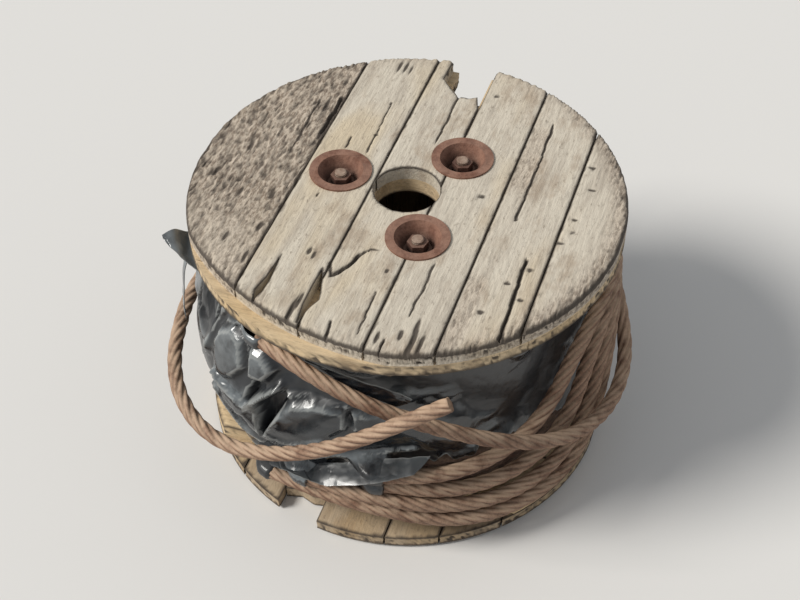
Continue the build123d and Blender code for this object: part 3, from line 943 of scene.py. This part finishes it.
def wood_material(name, pale, grey, brown, honey, toned):
    """Sawn softwood: pale board, grey and brown patches, dark grain lines, dirt and painted shade in what is
    sunk.
    """
    material, tree, shader = new_material(name, roughness=0.85)
    place = attribute(tree, "board_place", "Vector")
    dirt_and_shade = attribute(tree, "dirt_and_shade")
    fibre = noise(tree, stretched(tree, place, (1.0, 0.07, 0.6)), 560.0, 4.0, 0.65)
    streak = noise(tree, stretched(tree, place, (1.0, 0.12, 0.5)), 70.0, 4.0, 0.65)
    patch = noise(tree, stretched(tree, place, (1.0, 0.5, 1.0)), 30.0, 5.0, 0.65)
    stain = noise(tree, stretched(tree, place, (1.0, 0.3, 1.0)), 14.0, 3.0, 0.5)
    speck = noise(tree, stretched(tree, place, (1.0, 0.42, 1.0)), 300.0, 4.0, 0.7)
    wood = mix_colours(tree, ramp(tree, streak, 0.42, 0.72), (*pale, 1), (*grey, 1))
    wood = mix_colours(tree, ramp(tree, stain, 0.46, 0.66, 0.0, 0.6), wood, (*honey, 1))
    wood = mix_colours(tree, ramp(tree, patch, 0.5, 0.7, 0.0, 0.6), wood, (*brown, 1))
    if toned:
        rough = noise(tree, stretched(tree, place, (1.0, 0.3, 1.0)), 380.0, 5.0, 0.75)
        eaten = mix_colours(tree, ramp(tree, rough, 0.44, 0.6), eaten_pale, eaten_dark)
        wood = mix_colours(tree, ramp(tree, attribute(tree, "tone"), 0.0, 1.0, 0.0, 0.88), wood, eaten)
        shaded = ramp(tree, attribute(tree, "shaded"), 0.0, 1.0, 0.0, unbleached_share)
        wood = mix_colours(tree, shaded, wood, unbleached)
    wood = mix_colours(tree, ramp(tree, fibre, 0.36, 0.58, 0.24, 0.0), wood, fibre_brown)
    wood = mix_colours(tree, ramp(tree, speck, 0.56, 0.74, 0.0, 0.6), wood, speck_brown)
    # Dirt and painted shade darken what is sunk
    wood = mix_colours(tree, ramp(tree, dirt_and_shade, 0.22, 0.85, 0.0, 0.92), wood, sunk_dirt_and_shade)
    tree.links.new(wood, shader.inputs["Base Color"])
    tree.links.new(ramp(tree, streak, 0.3, 0.7, 0.78, 0.95), shader.inputs["Roughness"])
    bent = bump(tree, fibre, 0.0009, 0.6)
    tree.links.new(bump(tree, speck, 0.0012, 0.7, bent), shader.inputs["Normal"])
    return material


weathered_wood = wood_material(
    "weathered_wood", toned=True,
    pale=(0.63, 0.57, 0.47), grey=(0.47, 0.415, 0.34), brown=(0.35, 0.265, 0.185), honey=(0.60, 0.48, 0.31),
)
sheltered_wood = wood_material(
    "sheltered_wood", toned=False,
    pale=(0.66, 0.51, 0.32), grey=(0.46, 0.35, 0.22), brown=(0.30, 0.20, 0.11), honey=(0.58, 0.41, 0.21),
)

# %% Saw and weather every board
fine_cell = np.array([1.25, 2.9])
coarse_cell = np.array([3.0, 5.5])
# Each ply: its boards, its turn, which face is read for the outline, its cells, its wear and its finish
plies = {
    "top_outer": (6, 0, "low", fine_cell, top_outer_wear, flat_face, weathered_wood),
    "top_inner": (6, inner_turn, "high", coarse_cell, flat_face, grooved_face, sheltered_wood),
    "bottom_inner": (5, inner_turn, "low", coarse_cell, grooved_face, sunk_cup_face, sheltered_wood),
    "bottom_outer": (7, 0, "high", coarse_cell, plain_wear(71, rim_side=False), foot_face, weathered_wood),
}
for ply, (count, turn, read_face, cell, upper_wear, lower_wear, wood) in plies.items():
    slot = "weathered_boards" if ply.endswith("outer") else "sheltered_boards"
    triangles = 0
    for number in range(1, count + 1):
        name = f"{ply}_board_{number}"
        base, top = (corner[2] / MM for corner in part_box(name))
        outline = face_outline(name, top if read_face == "high" else base, turn)
        if ply == "bottom_inner":
            for bolt in to_board(bolt_places, turn):
                offset = outline - bolt
                around_bolt = np.linalg.norm(offset, axis=-1, keepdims=True) < seat_floor + 3
                outline = np.where(around_bolt, bolt + offset * bolt_hole / (seat_floor + 1.1), outline)
        mesh = board_solid(name + "_wood", turn, outline, base, top, cell, upper_wear, lower_wear, broken_rim)
        add_piece(name + "_wood", mesh, wood, slot, name)
        triangles += len(mesh.polygons) * 2
    print(ply, "boards", count, "triangles", triangles)

# %% [markdown]
# The wound rope
#
# Under the film the rope lies on the barrel in even turns. It shows where the film is torn away low at the
# front. It could be some eighty metres of rope, strand by strand, but only the outside of the outer layer
# is ever seen. So it is one turned surface: the outline across is fifteen half rounds on the outside, plain
# ridges for the layers on both ends and the bore, and the strands of the outer turns run round as they do
# on the loose rope.

# %% Turn the winding
winding_low, winding_high = (corner[2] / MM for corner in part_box("wound_rope"))
winding_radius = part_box("wound_rope")[1][0] / MM
winding_bore = 108.3
turn_count = 15
layer_count = 5
turn_points = 9
winding_columns = 360
end_relief = 4.0
end_margin = 1.0
end_groove = 0.5


def winding_surface():
    """Points of the winding, row by row round its outline and column by column round the drum.

    In turn n the outside lies at a + s cos p out and s sin p up, with a the circle of rope middles, p from
    -90 to 90 degrees and s the strand outline at p plus one whole turn for each lay of the rope wound so
    far.
    """
    turn = np.linspace(0, 2 * pi, winding_columns, endpoint=False)
    pitch = (winding_high - winding_low - 2 * end_margin) / turn_count
    middle_radius = winding_radius - rope_diameter / 2
    number = np.repeat(np.arange(turn_count), turn_points)
    lean = np.tile(np.linspace(-pi / 2, pi / 2, turn_points), turn_count)
    wound = (turn[None, :] + 2 * pi * number[:, None]) * middle_radius
    phase = lean[:, None] + 2 * pi * wound / rope_lay
    thick = strand_outline(phase)
    height = winding_low + end_margin + pitch * (number + 0.5)
    outer_radius = middle_radius + thick * np.cos(lean)[:, None]
    outer_height = height[:, None] + np.minimum(thick, pitch / 2) * np.sin(lean)[:, None]
    groove = groove_share(thick) + 0.6 * np.abs(np.sin(lean))[:, None] ** 3

    share = np.linspace(0, 1, layer_count * 4 + 1)
    layers = winding_bore + (middle_radius - winding_bore) * (1 - share)
    ridge = end_relief * (1 - np.abs(np.sin(pi * share * layer_count)))
    top = np.column_stack([layers, winding_high - ridge])
    low = np.column_stack([layers[::-1], winding_low + ridge[::-1]])
    ends = np.concatenate([top, low])
    flat = np.ones((1, winding_columns))
    radius = np.concatenate([outer_radius, ends[:, :1] * flat])
    height = np.concatenate([outer_height, ends[:, 1:] * flat])
    groove = np.concatenate([groove, np.full((len(ends), winding_columns), end_groove)])
    wires = np.concatenate([phase / (2 * pi), np.zeros((len(ends), winding_columns))])
    points = np.stack([radius * np.cos(turn), radius * np.sin(turn), height], -1)
    return points, np.clip(groove, 0, 1), wires


points, groove, wires = winding_surface()
faces = grid_faces(*points.shape[:2], closed_rows=True, closed_columns=True)
place = np.stack([wires, 0 * wires, 0 * wires], -1).reshape(-1, 3)
kept = {"rope_place": place, "groove": groove.ravel()}
mesh = build_mesh("winding", points.reshape(-1, 3), faces, kept)
# The wound rope is a darker, less dusty copy of the loose rope's rust: painted shade from the flange and film
# over it
winding_rust_painted_shade = rope_material("winding_rust_painted_shade", (0.20, 0.125, 0.085), (0.018, 0.011, 0.008), 0.25)
add_piece("winding_strands", mesh, winding_rust_painted_shade, "wire_rope", "wound_rope")
print("winding: faces", len(mesh.polygons))

# %% [markdown]
# The torn film
#
# A wide sheet of thin black film goes once round the winding. It could be a cloth simulation, but the folds
# of a stiff film that was wrapped by hand are sharp, and in front they are known from the photograph, so
# they are worked out: sums of triangle waves at three sizes give flat facets with sharp creases, and single
# faces, dents, pockets and ridges put the large folds in front where the photograph shows them. At the
# front left the film bellies out between the flanges, and low at the front it is torn away. It stays inside
# the sleeve that the frame holds and outside the rope under it, except in the eleven places where it rises
# over a loose rope that goes under it.

# %% The shape of the sleeve
film_radius = 212.0
film_inside = 201.2
film_gauge = 0.8
film_top = 281.6
billow_direction = 207.0
billow_offset = 60.0
billow_radius = 186.0
billow_middle = 163.0
billow_half_height = 118.0
billow_sink = 36.0
billow_bow = (billow_half_height**2 + billow_sink**2) / (2 * billow_sink)
# The torn edge: (azimuth, height)
film_tear = np.array([
    (0, 36), (190, 36), (232, 37), (237, 52), (243, 80), (250, 88), (258, 90), (266, 92),
    (271, 108), (277, 112), (280, 128), (296, 138), (318, 112), (338, 70), (352, 37), (360, 36),
])


def sleeve_reach(azimuth, height):
    """The outside of the sleeve: a round of one radius, or the belly where that lies further out.

    The belly is a round of radius r(z) about an axis moved to its side: m cos a + sqrt(r^2 - m^2 sin^2 a),
    with m the move and a the azimuth from the belly's direction. r(z) is a bow with its widest place half
    way up.
    """
    rise = np.clip(height - billow_middle, -billow_half_height, billow_half_height)
    radius = billow_radius - (billow_bow - np.sqrt(billow_bow**2 - rise**2))
    aside = np.radians(azimuth - billow_direction)
    belly = billow_offset * np.cos(aside) + np.sqrt(radius**2 - (billow_offset * np.sin(aside)) ** 2)
    return np.maximum(film_radius, np.where(np.cos(aside) > 0, belly, 0))


# %% Creases, dents, faces and pockets
# Each dent is (azimuth, height, half width along the film, half height, depth)
film_dents = [
    (206, 232, 3.5, 30, 9), (200, 130, 12, 26, 9), (193, 205, 8, 26, 10), (262, 176, 18, 10, 6),
    (262, 130, 20, 4, 6), (180, 170, 14, 40, 7), (170, 110, 18, 30, 5),
]
# Smooth faces between creases, each (height of its rim, its outline of (azimuth, height))
film_faces = [
    (2.6, (210.4, 216), (211.5, 236), (216, 249), (221, 243), (223, 213), (219.5, 193), (213, 182)),
    (1.6, (223.5, 243), (228, 243), (232.5, 228), (230, 211), (224.5, 207)),
    (2.6, (230.2, 142), (234.5, 173), (238, 200), (244, 205), (252.5, 203), (253.5, 180), (246.5, 158),
     (237, 141)),
    (1.2, (254, 201), (262, 198), (263, 182), (255, 176)),
]
# Deep pockets, each (depth, its outline of (azimuth, height))
film_pockets = [
    (11, (223.3, 254), (226.7, 250), (230, 248), (234, 244), (239.5, 236), (236.3, 229), (232, 233),
     (226, 243)),
    (22, (225.4, 205), (231.4, 206), (227.6, 188), (224.4, 167), (224.2, 188)),
    (26, (227.6, 179), (231.5, 196), (235.8, 208), (237, 200), (234.2, 176), (229.6, 136), (228.6, 163)),
    (8, (236, 228), (243.4, 230), (248.5, 222), (247.5, 209), (241.5, 211)),
    (12, (244.6, 226), (249, 221), (248, 207), (245, 211)),
]
# Each ridge is (half width, lift, then its line of (azimuth, height))
film_ridges = [
    (2.6, 9, (212, 178), (216.5, 175), (220.4, 170), (223.4, 159)),
    (2.6, 8, (212, 160), (215.7, 155), (219.1, 141), (222.8, 126), (228.9, 124)),
    (2.4, 12, (222.4, 156), (227.6, 184), (231.2, 200), (233.8, 210)),
    (2.6, 6, (210, 213), (210.7, 231), (213.2, 247), (217.1, 253), (221, 249), (223.4, 230)),
    (2.2, 6, (236.9, 203), (241.3, 206), (246.5, 205), (253, 206)),
    (2.2, 4, (252.8, 203), (252.8, 176)),
    (3.0, 5, (238, 124), (252, 132), (272, 143)),
    (3.0, 4, (205, 180), (207, 222), (210, 252)),
]

# %% How deep the film sinks
facet_directions = 4
golden_angle = 2.39996
# Each size of facet: its width, its swing, how much more it swings in the belly, and the level it sinks below
facet_sizes = [(105, 26, 0.5, 0.72), (44, 9, 0, 0.68), (19, 2.6, 0, 0.7)]
facet_shift = 34
belly_room = 11
face_calm, face_sink, face_rim = 0.85, 2.5, 2.6
ridge_foot = 2.2
least_sink, rope_clearance = 0.2, 0.4


def facets(place, size, seed):
    """Flat facets with sharp creases: the mean of triangle waves that run in several directions.

    Wave n is |2 frac(p.d/w) - 1|, with d its direction and w its length. The directions turn by the golden
    angle, and each wave is a little longer than the one before. Near a spot every wave is a slope, so their
    sum is flat there, and it folds where a wave turns.
    """
    total = 0
    for number in range(facet_directions):
        turn = golden_angle * (number + 1.7 * seed)
        rise = np.sin(1.3 * number + seed)
        direction = np.array([cos(turn) * np.sqrt(1 - rise**2), sin(turn) * np.sqrt(1 - rise**2), rise])
        wave = place @ direction / (size * (1 + 0.17 * number)) + 0.37 * number + 0.61 * seed
        total = total + np.abs(2 * (wave % 1) - 1)
    return total / facet_directions


def spread_out(azimuth, height):
    """A place on the sleeve as flat millimetres: along the film, and up."""
    return np.radians(azimuth) * film_radius, height


def inside_outline(places, corners):
    """How far places lie inside a closed outline of (azimuth, height), negative outside."""
    corners = np.array([spread_out(*corner) for corner in corners])
    edges = np.stack([corners, np.roll(corners, -1, axis=0)], 1)
    return outline_distance(places.reshape(-1, 2), edges)[0].reshape(places.shape[:-1])


def crumple(azimuth, height):
    """How deep the film sinks below the sleeve: facets at three sizes, faces, dents, pockets and ridges.

    The places that the facets are read at are shifted by a noise, so that no crease runs quite straight. A
    face is calm inside its outline and a pocket is deep inside its own, both by smooth steps of the
    distance to it.
    """
    place = around(film_radius, azimuth, height)
    x, y, z = np.moveaxis(place, -1, 0)
    shifts = [value_noise(x / 48, y / 48, z / 48, seed=seed, octaves=2) - 0.5 for seed in (41, 42, 43)]
    place = place + facet_shift * np.stack(shifts, -1)
    room = sleeve_reach(azimuth, height) - film_inside
    sunk = np.zeros(azimuth.shape)
    for seed, (size, swing, belly_swing, level) in enumerate(facet_sizes, 1):
        swing = swing + belly_swing * np.maximum(room - belly_room, 0)
        sunk = sunk + swing * np.clip(level - facets(place, size, seed), 0, 1)
    along, up = spread_out(azimuth, height)
    places = np.stack([along, up], -1)
    lifted = np.zeros(azimuth.shape)
    for rim, *outline in film_faces:
        inside = inside_outline(places, outline)
        calm = smooth_step(-2, 5, inside)
        sunk = sunk * (1 - face_calm * calm) + face_sink * calm
        lifted = np.maximum(lifted, rim * np.exp(-((inside / face_rim) ** 2)))
    for middle_azimuth, middle_height, half_along, half_up, depth in film_dents:
        gap = np.abs((along - np.radians(middle_azimuth) * film_radius) / half_along)
        sunk += depth * np.clip(1 - gap - np.abs((up - middle_height) / half_up), 0, 1) ** 0.7
    for depth, *outline in film_pockets:
        sunk = np.maximum(sunk, depth * smooth_step(-2.5, 4.5, inside_outline(places, outline)))
    for width, lift, *line in film_ridges:
        gap = gap_to_line(places, np.array([spread_out(*corner) for corner in line], float))
        lifted = np.maximum(lifted, lift * np.clip(1 - gap / (ridge_foot * width), 0, 1))
    return np.clip(sunk - lifted, least_sink, room - film_gauge - rope_clearance)


# %% Where the rope goes under the film
# Each is (azimuth where the rope comes out, height, radius that the film rises to, the side it lies on)
film_lips = [
    (150.5, 147, 231.5, -1), (232, 273, 232.5, -1), (232, 67, 239, -1), (245, 97, 241, -1),
    (265, 121, 234, -1), (265, 105, 234, -1), (354.5, 272, 231, 1), (357.5, 255.5, 231, 1),
    (365, 238, 231, 1), (368.5, 220.5, 231, 1), (381.5, 202, 231, 1),
]
lip_front = 7.0
lip_crest = 9
lip_back = 58.0
lip_half_height = 12.5


def rope_lips(azimuth, height, radius):
    """How far the film rises over the ropes' ends: steep where the rope comes out, and slow behind it.

    It is the rise that each lip needs, times smooth steps along the film and exp(-(v/h)^4) up it.
    """
    lifted = np.zeros(azimuth.shape)
    for front, middle_height, reach, side in film_lips:
        gap = ((azimuth - front + 180) % 360 - 180) * side
        along = np.radians(gap) * film_radius
        share = smooth_step(0, lip_front, along) * (1 - smooth_step(lip_front + lip_crest, lip_back, along))
        share = share * np.exp(-(((height - middle_height) / lip_half_height) ** 4))
        lifted = np.maximum(lifted, share * np.maximum(reach - radius, 0))
    return lifted


# %% Wrap the film
film_rows = 84
bite_depth = 26
fine_azimuths = np.arange(165, 300, 0.55)
plain_azimuths = np.arange(300, 525, 0.9) % 360
film_azimuths = np.concatenate([fine_azimuths, plain_azimuths])


def film_low_edge(azimuth):
    """The height of the film's lower edge: the tear's line with ragged bites where it is torn away."""
    torn = np.interp(azimuth, *film_tear.T)
    bites = value_noise(azimuth / 2.6, 0 * azimuth, seed=46, octaves=3) - 0.5
    ragged = np.clip(bites * bite_depth * smooth_step(36, 60, torn), -9, 14)
    return torn + ragged + 3 * value_noise(azimuth / 6, 0 * azimuth, seed=47)


def film_rub_and_sheen(radius):
    """Rubbed pale, and a painted highlight: on outward creases, where it bends most, and the torn edge."""
    bend = 2 * radius - np.roll(radius, 2, 1) - np.roll(radius, -2, 1)
    inner_rows = 2 * radius[2:-2] - radius[4:] - radius[:-4]
    bend[2:-2] += inner_rows
    torn = np.exp(-np.arange(film_rows) / 1.5)[:, None]
    return np.clip(0.7 * smooth_step(2.0, 5.5, bend) + 0.8 * torn, 0, 1)


def wrapped_film():
    """Rows of film from the torn edge up, with the same rows a film's gauge further in behind them."""
    share = np.linspace(0, 1, film_rows)[:, None]
    low = film_low_edge(film_azimuths)
    high = film_top - 2.5 * value_noise(film_azimuths / 5, 0 * film_azimuths, seed=48)
    height = low + share * (high - low)
    azimuth = np.broadcast_to(film_azimuths, height.shape)
    sunk = crumple(azimuth, height)
    radius = sleeve_reach(azimuth, height) - sunk
    rub_and_sheen = film_rub_and_sheen(radius)
    lips = rope_lips(azimuth, height, radius)
    rub_and_sheen = rub_and_sheen * (1 - smooth_step(0, 4, lips))
    radius = radius + lips
    outside = around(radius, azimuth, height)
    inside = around(radius - film_gauge, azimuth, height)
    return np.concatenate([outside, inside[::-1]]), smooth_step(5, 13, sunk), rub_and_sheen


points, sunk, rub_and_sheen = wrapped_film()
faces = grid_faces(*points.shape[:2], closed_rows=True, closed_columns=True)
kept = {}
for label, value in (("rub_and_sheen", rub_and_sheen), ("sunk", sunk)):
    kept[label] = np.concatenate([value, value[::-1]]).ravel()
film_mesh = build_mesh("film", points.reshape(-1, 3), faces, kept, sharp_angle=60)
steps_up = np.linalg.norm(np.diff(points[:film_rows], axis=0), axis=-1)
steps_on = np.linalg.norm(points[:film_rows] - np.roll(points[:film_rows], -1, axis=1), axis=-1)
film_area = (steps_up * (steps_on[1:] + steps_on[:-1]) / 2).sum() * MM**2
print("film: faces", len(film_mesh.polygons), "area", round(film_area, 4), "square metres")

# %% Black film
skin_dark = (0.005, 0.006, 0.008, 1)
skin_hazed = (0.013, 0.015, 0.018, 1)
# Pale dust, which also stands for painted light on facets that face up
skin_dust_and_light = (0.18, 0.20, 0.21, 1)
# Rubbed pale film, with a painted highlight
skin_rubbed_and_sheen = (0.30, 0.31, 0.30, 1)


def film_material():
    """Thin black polythene: a dark glossy skin, with pale dust and painted light on each facet that faces up.

    Next to none gets into the deep pockets, which paints shade there. Outward creases and torn edges are
    rubbed pale, with a painted highlight.
    """
    material, tree, shader = new_material("black_film", roughness=0.2)
    place = node(tree, "ShaderNodeTexCoord").outputs["Object"]
    crease = noise(tree, place, 34.0, 2.0, 0.5)
    fold = combine(tree, "ABSOLUTE", combine(tree, "SUBTRACT", crease, 0.5))
    haze = place_group(tree, blotches, {"Place": place, "Scale": 17.0, "Low": 0.38, "High": 0.68})["Mask"]
    # Pale dust and painted light on facets that face up, and painted shade that keeps it off the deep pockets
    unshaded_share = ramp(tree, attribute(tree, "sunk"), 0.0, 1.0, 0.9, 0.04)
    film_dust_and_light = {"Place": place, "Amount": unshaded_share, "Scale": 24.0, "From": 0.02, "To": 0.5}
    settled = place_group(tree, dust, film_dust_and_light)["Mask"]
    rubbed_and_sheen = attribute(tree, "rub_and_sheen")
    skin = mix_colours(tree, haze, skin_dark, skin_hazed)
    skin = mix_colours(tree, settled, skin, skin_dust_and_light)
    skin = mix_colours(tree, ramp(tree, rubbed_and_sheen, 0.2, 1.0, 0.0, 0.8), skin, skin_rubbed_and_sheen)
    tree.links.new(skin, shader.inputs["Base Color"])
    dull = combine(tree, "MULTIPLY", attribute(tree, "sunk"), 0.3)
    roughness = combine(tree, "ADD", ramp(tree, haze, 0.0, 1.0, 0.13, 0.3), dull)
    tree.links.new(roughness, shader.inputs["Roughness"])
    tree.links.new(bump(tree, fold, 0.006, 0.5), shader.inputs["Normal"])
    shader.inputs["IOR"].default_value = 1.55
    shader.inputs["Coat Weight"].default_value = 0.3
    shader.inputs["Coat Roughness"].default_value = 0.09
    return material


black_film = film_material()
film = add_piece("film_sheet", film_mesh, black_film, "film", "film_wrap")

# %% [markdown]
# Loose scraps of the film
#
# Four scraps stand off the main sheet: a pointed flap that sticks out past the top flange at the left, a
# strip that hangs below it, a tongue over the first loose turn at the front, and the folded hem along the
# tear. Each is a grid between two edge lines. Its thickness is laid on along the surface's own direction
# and runs out to nothing at both ends, so that the welded piece is closed.

# %% A sheet between two edges
def edge_line(corners, count):
    """A smooth line through corners of (radius, azimuth, height), read at even steps by cubic blending."""
    corners = np.array(corners, float)
    at = np.linspace(0, len(corners) - 1, count)
    padded = np.concatenate([2 * corners[:1] - corners[1:2], corners, 2 * corners[-1:] - corners[-2:-1]])
    whole = np.minimum(at.astype(int), len(corners) - 2)
    part = (at - whole)[:, None]
    before, start, end, after = (padded[whole + step] for step in range(4))
    return 0.5 * (
        2 * start + (end - before) * part + (2 * before - 5 * start + 4 * end - after) * part**2
        + (3 * start - before - 3 * end + after) * part**3
    )


def sheet_between(lower, upper, columns, rows, belly, ripple, seed):
    """Points between two edge lines: their blend, pushed out by belly sin(pi t) and by ridged ripples.

    t is the share of the way up. The back is the same surface a film's gauge further in, tapered to nothing
    at the first and last columns.
    """
    low, high = edge_line(lower, columns), edge_line(upper, columns)
    rise = np.linspace(0, 1, rows)[:, None]
    route = low[None] * (1 - rise[..., None]) + high[None] * rise[..., None]
    radius, azimuth, height = np.moveaxis(route, -1, 0)
    along = np.radians(azimuth) * film_radius
    waves = ridged_noise(along / 16, height / 13, seed=seed, octaves=2) - 0.55
    radius = radius + belly * np.sin(pi * rise) + ripple * waves
    front = around(radius, azimuth, height)
    across = unit(np.cross(np.gradient(front, axis=1), np.gradient(front, axis=0)))
    taper = np.minimum(1, np.minimum(np.arange(columns), np.arange(columns)[::-1]) / 2.0)
    outwards = np.sign(np.sum(across * front * (1, 1, 0), -1, keepdims=True))
    back = front - film_gauge * taper[None, :, None] * across * outwards
    return np.concatenate([front, back[::-1]])


# %% The four scraps: lower edge, upper edge, columns, rows, belly, ripple, flat size in metres
film_scraps = {
    "film_tongue": (
        [(212.5, 243, 252), (214, 250, 241), (215, 257, 236), (216, 263, 231),
         (217.5, 267, 228), (220, 269.5, 235)],
        [(212.5, 242, 266), (213.5, 250, 263), (215, 257, 259), (217, 263, 255),
         (219.5, 267, 251), (222, 271, 245)],
        56, 22, 0.6, 1.6, (0.100, 0.026),
    ),
    "film_hem": (
        [(232, 230.5, 84), (238, 237, 102), (241, 242, 108.5), (239.5, 248.5, 107), (237.5, 254, 115),
         (235.5, 263, 127), (230, 271.5, 136)],
        [(228, 229.5, 86), (223, 234.5, 95), (221, 240, 104), (218, 246, 115), (215, 253, 124),
         (210.5, 262.5, 134), (214, 276, 144)],
        120, 20, 1.5, 2.4, (0.178, 0.026),
    ),
    "film_flap": (
        [(214, 203, 270), (226, 200, 274), (233, 198, 279), (243, 195, 286), (255, 190.5, 293)],
        [(212.6, 184, 280), (222, 185, 280.5), (231, 186, 281), (243, 188, 294), (255.4, 190, 296)],
        44, 26, 0.0, 2.4, (0.07, 0.045),
    ),
    "film_strip": (
        [(229, 190.5, 278), (238, 191.5, 262), (242.5, 192.5, 236), (245, 193, 210), (245.5, 193.5, 188)],
        [(229, 193.5, 279), (238, 194.5, 262), (243, 195.5, 236), (246, 195.8, 210), (246, 194.5, 186)],
        52, 8, 0.6, 1.0, (0.10, 0.0125),
    ),
}
edge_rub_and_sheen, edge_reach = 0.6, 2.2
hem_sunk = 0.6
for number, (name, (lower, upper, columns, rows, belly, ripple, flat)) in enumerate(film_scraps.items()):
    points = sheet_between(lower, upper, columns, rows, belly, ripple, seed=60 + number)
    faces = grid_faces(2 * rows, columns, closed_rows=True)
    rise = np.linspace(0, 1, rows)[:, None] * np.ones((1, columns))
    from_edge = np.minimum(rise, 1 - rise) * (flat[1] / MM)
    # The edges of each scrap are rubbed pale and given a painted highlight
    rub_and_sheen = edge_rub_and_sheen * np.exp(-from_edge / edge_reach)
    rub_and_sheen = np.concatenate([rub_and_sheen, rub_and_sheen[::-1]])
    marks = {"rub_and_sheen": rub_and_sheen.ravel(), "sunk": np.full(rub_and_sheen.size, hem_sunk if name == "film_hem" else 0.0)}
    mesh = build_mesh(name, points.reshape(-1, 3), faces, marks, sharp_angle=70, weld=0.02)
    scrap = add_piece(name, mesh, black_film, "film")
    half = points[:rows]
    width = np.linalg.norm(np.diff(half, axis=0), axis=-1).sum(0).mean()
    length = np.linalg.norm(np.diff(half, axis=1), axis=-1).sum(1).mean()
    print(name, "length", round(length), "width", round(width), "mm")

# %% [markdown]
# Rusty fittings
#
# The cup washers, the bolts and their nuts have their true shapes in the frame, so they keep their meshes
# and only get a finish. The open rims of the cups are a pale, pinkish, dry rust. Down in the dish it is
# darker, as oily rust and painted shade, and the bolt's end is worn bright. The depth below the flange's
# face decides which of them shows.

# %% Rust and painted shade by depth
top_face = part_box("top_outer_board_3")[1].z
fitting_dust = (0.37, 0.235, 0.175, 1)
# In metres, as the places that a material reads are
thread_pitch = 0.00195


def fitting_material(name, lit_colour, deep_colour, deep_from, deep_to, thread=False):
    """Rust, darker below the top flange's face as oily rust and painted shade, and a bolt's thread if asked.
    """
    material, tree, shader = new_material(name, roughness=0.8)
    place = node(tree, "ShaderNodeTexCoord").outputs["Object"]
    height = node(tree, "ShaderNodeSeparateXYZ", {0: place}).outputs["Z"]
    scale_marks = noise(tree, place, 330.0, 5.0, 0.68)
    patch = place_group(tree, blotches, {"Place": place, "Scale": 85.0, "Low": 0.38, "High": 0.64})["Mask"]
    red, green, blue = lit_colour
    rust = mix_colours(tree, patch, (*lit_colour, 1), (red * 0.6, green * 0.5, blue * 0.46, 1))
    rust = mix_colours(tree, ramp(tree, scale_marks, 0.5, 0.72, 0.0, 0.6), rust, (*deep_colour, 1))
    # Darker with depth below the face: oily rust, and painted shade down in the dish
    depth = ramp(tree, height, top_face - deep_to * MM, top_face - deep_from * MM, 0.9, 0.0)
    rust = mix_colours(tree, depth, rust, (*deep_colour, 1))
    settled = place_group(tree, dust, {"Place": place, "Amount": 0.3})["Mask"]
    rust = mix_colours(tree, settled, rust, fitting_dust)
    tree.links.new(rust, shader.inputs["Base Color"])
    tree.links.new(ramp(tree, scale_marks, 0.3, 0.7, 0.66, 0.92), shader.inputs["Roughness"])
    bent = bump(tree, scale_marks, 0.0009, 0.8)
    if thread:
        turns = combine(tree, "SINE", combine(tree, "MULTIPLY", height, 2 * pi / thread_pitch))
        bent = bump(tree, turns, 0.0006, 0.6, bent)
    tree.links.new(bent, shader.inputs["Normal"])
    return material


def dress(nodes, material):
    """Give CAD nodes a finish and leave their meshes as they are."""
    for name in nodes:
        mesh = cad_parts[name].data
        mesh.materials.clear()
        mesh.materials.append(material)


cup_rust = fitting_material("cup_rust", (0.245, 0.12, 0.078), (0.05, 0.02, 0.012), 3.0, 15.0)
nut_rust = fitting_material("nut_rust", (0.10, 0.045, 0.03), (0.022, 0.010, 0.007), 5.0, 14.0)
bolt_rust = fitting_material("bolt_rust", (0.34, 0.26, 0.20), (0.05, 0.026, 0.017), 4.5, 7.5, thread=True)
dress([f"{side}_cup_washer_{number}" for side in ("top", "bottom") for number in (1, 2, 3)], cup_rust)
dress([f"bolt_nut_{number}" for number in (1, 2, 3)], nut_rust)
dress([f"through_bolt_{number}" for number in (1, 2, 3)], bolt_rust)

# %% [markdown]
# The barrel's staves
#
# The staves can only be seen through the arbor hole, in shade. They keep their meshes, with a plain brown
# softwood whose grain runs up along each stave.

# %% Stave wood
stave_pale = (0.17, 0.115, 0.065, 1)
stave_brown = (0.10, 0.064, 0.035, 1)
stave_dark = (0.05, 0.032, 0.018, 1)


def stave_material():
    """Sheltered softwood with its grain upright, a little darker in streaks."""
    material, tree, shader = new_material("stave_wood", roughness=0.85)
    place = node(tree, "ShaderNodeTexCoord").outputs["Object"]
    fibre = noise(tree, stretched(tree, place, (1, 1, 0.04)), 520.0, 4.0, 0.6)
    streak = noise(tree, stretched(tree, place, (1, 1, 0.08)), 90.0, 3.0, 0.6)
    wood = mix_colours(tree, ramp(tree, streak, 0.35, 0.7), stave_pale, stave_brown)
    wood = mix_colours(tree, ramp(tree, fibre, 0.36, 0.6, 0.5, 0.0), wood, stave_dark)
    tree.links.new(wood, shader.inputs["Base Color"])
    tree.links.new(bump(tree, fibre, 0.0006, 0.6), shader.inputs["Normal"])
    return material


dress([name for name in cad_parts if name.startswith("barrel_stave")], stave_material())
print("dressed the fittings and the staves")
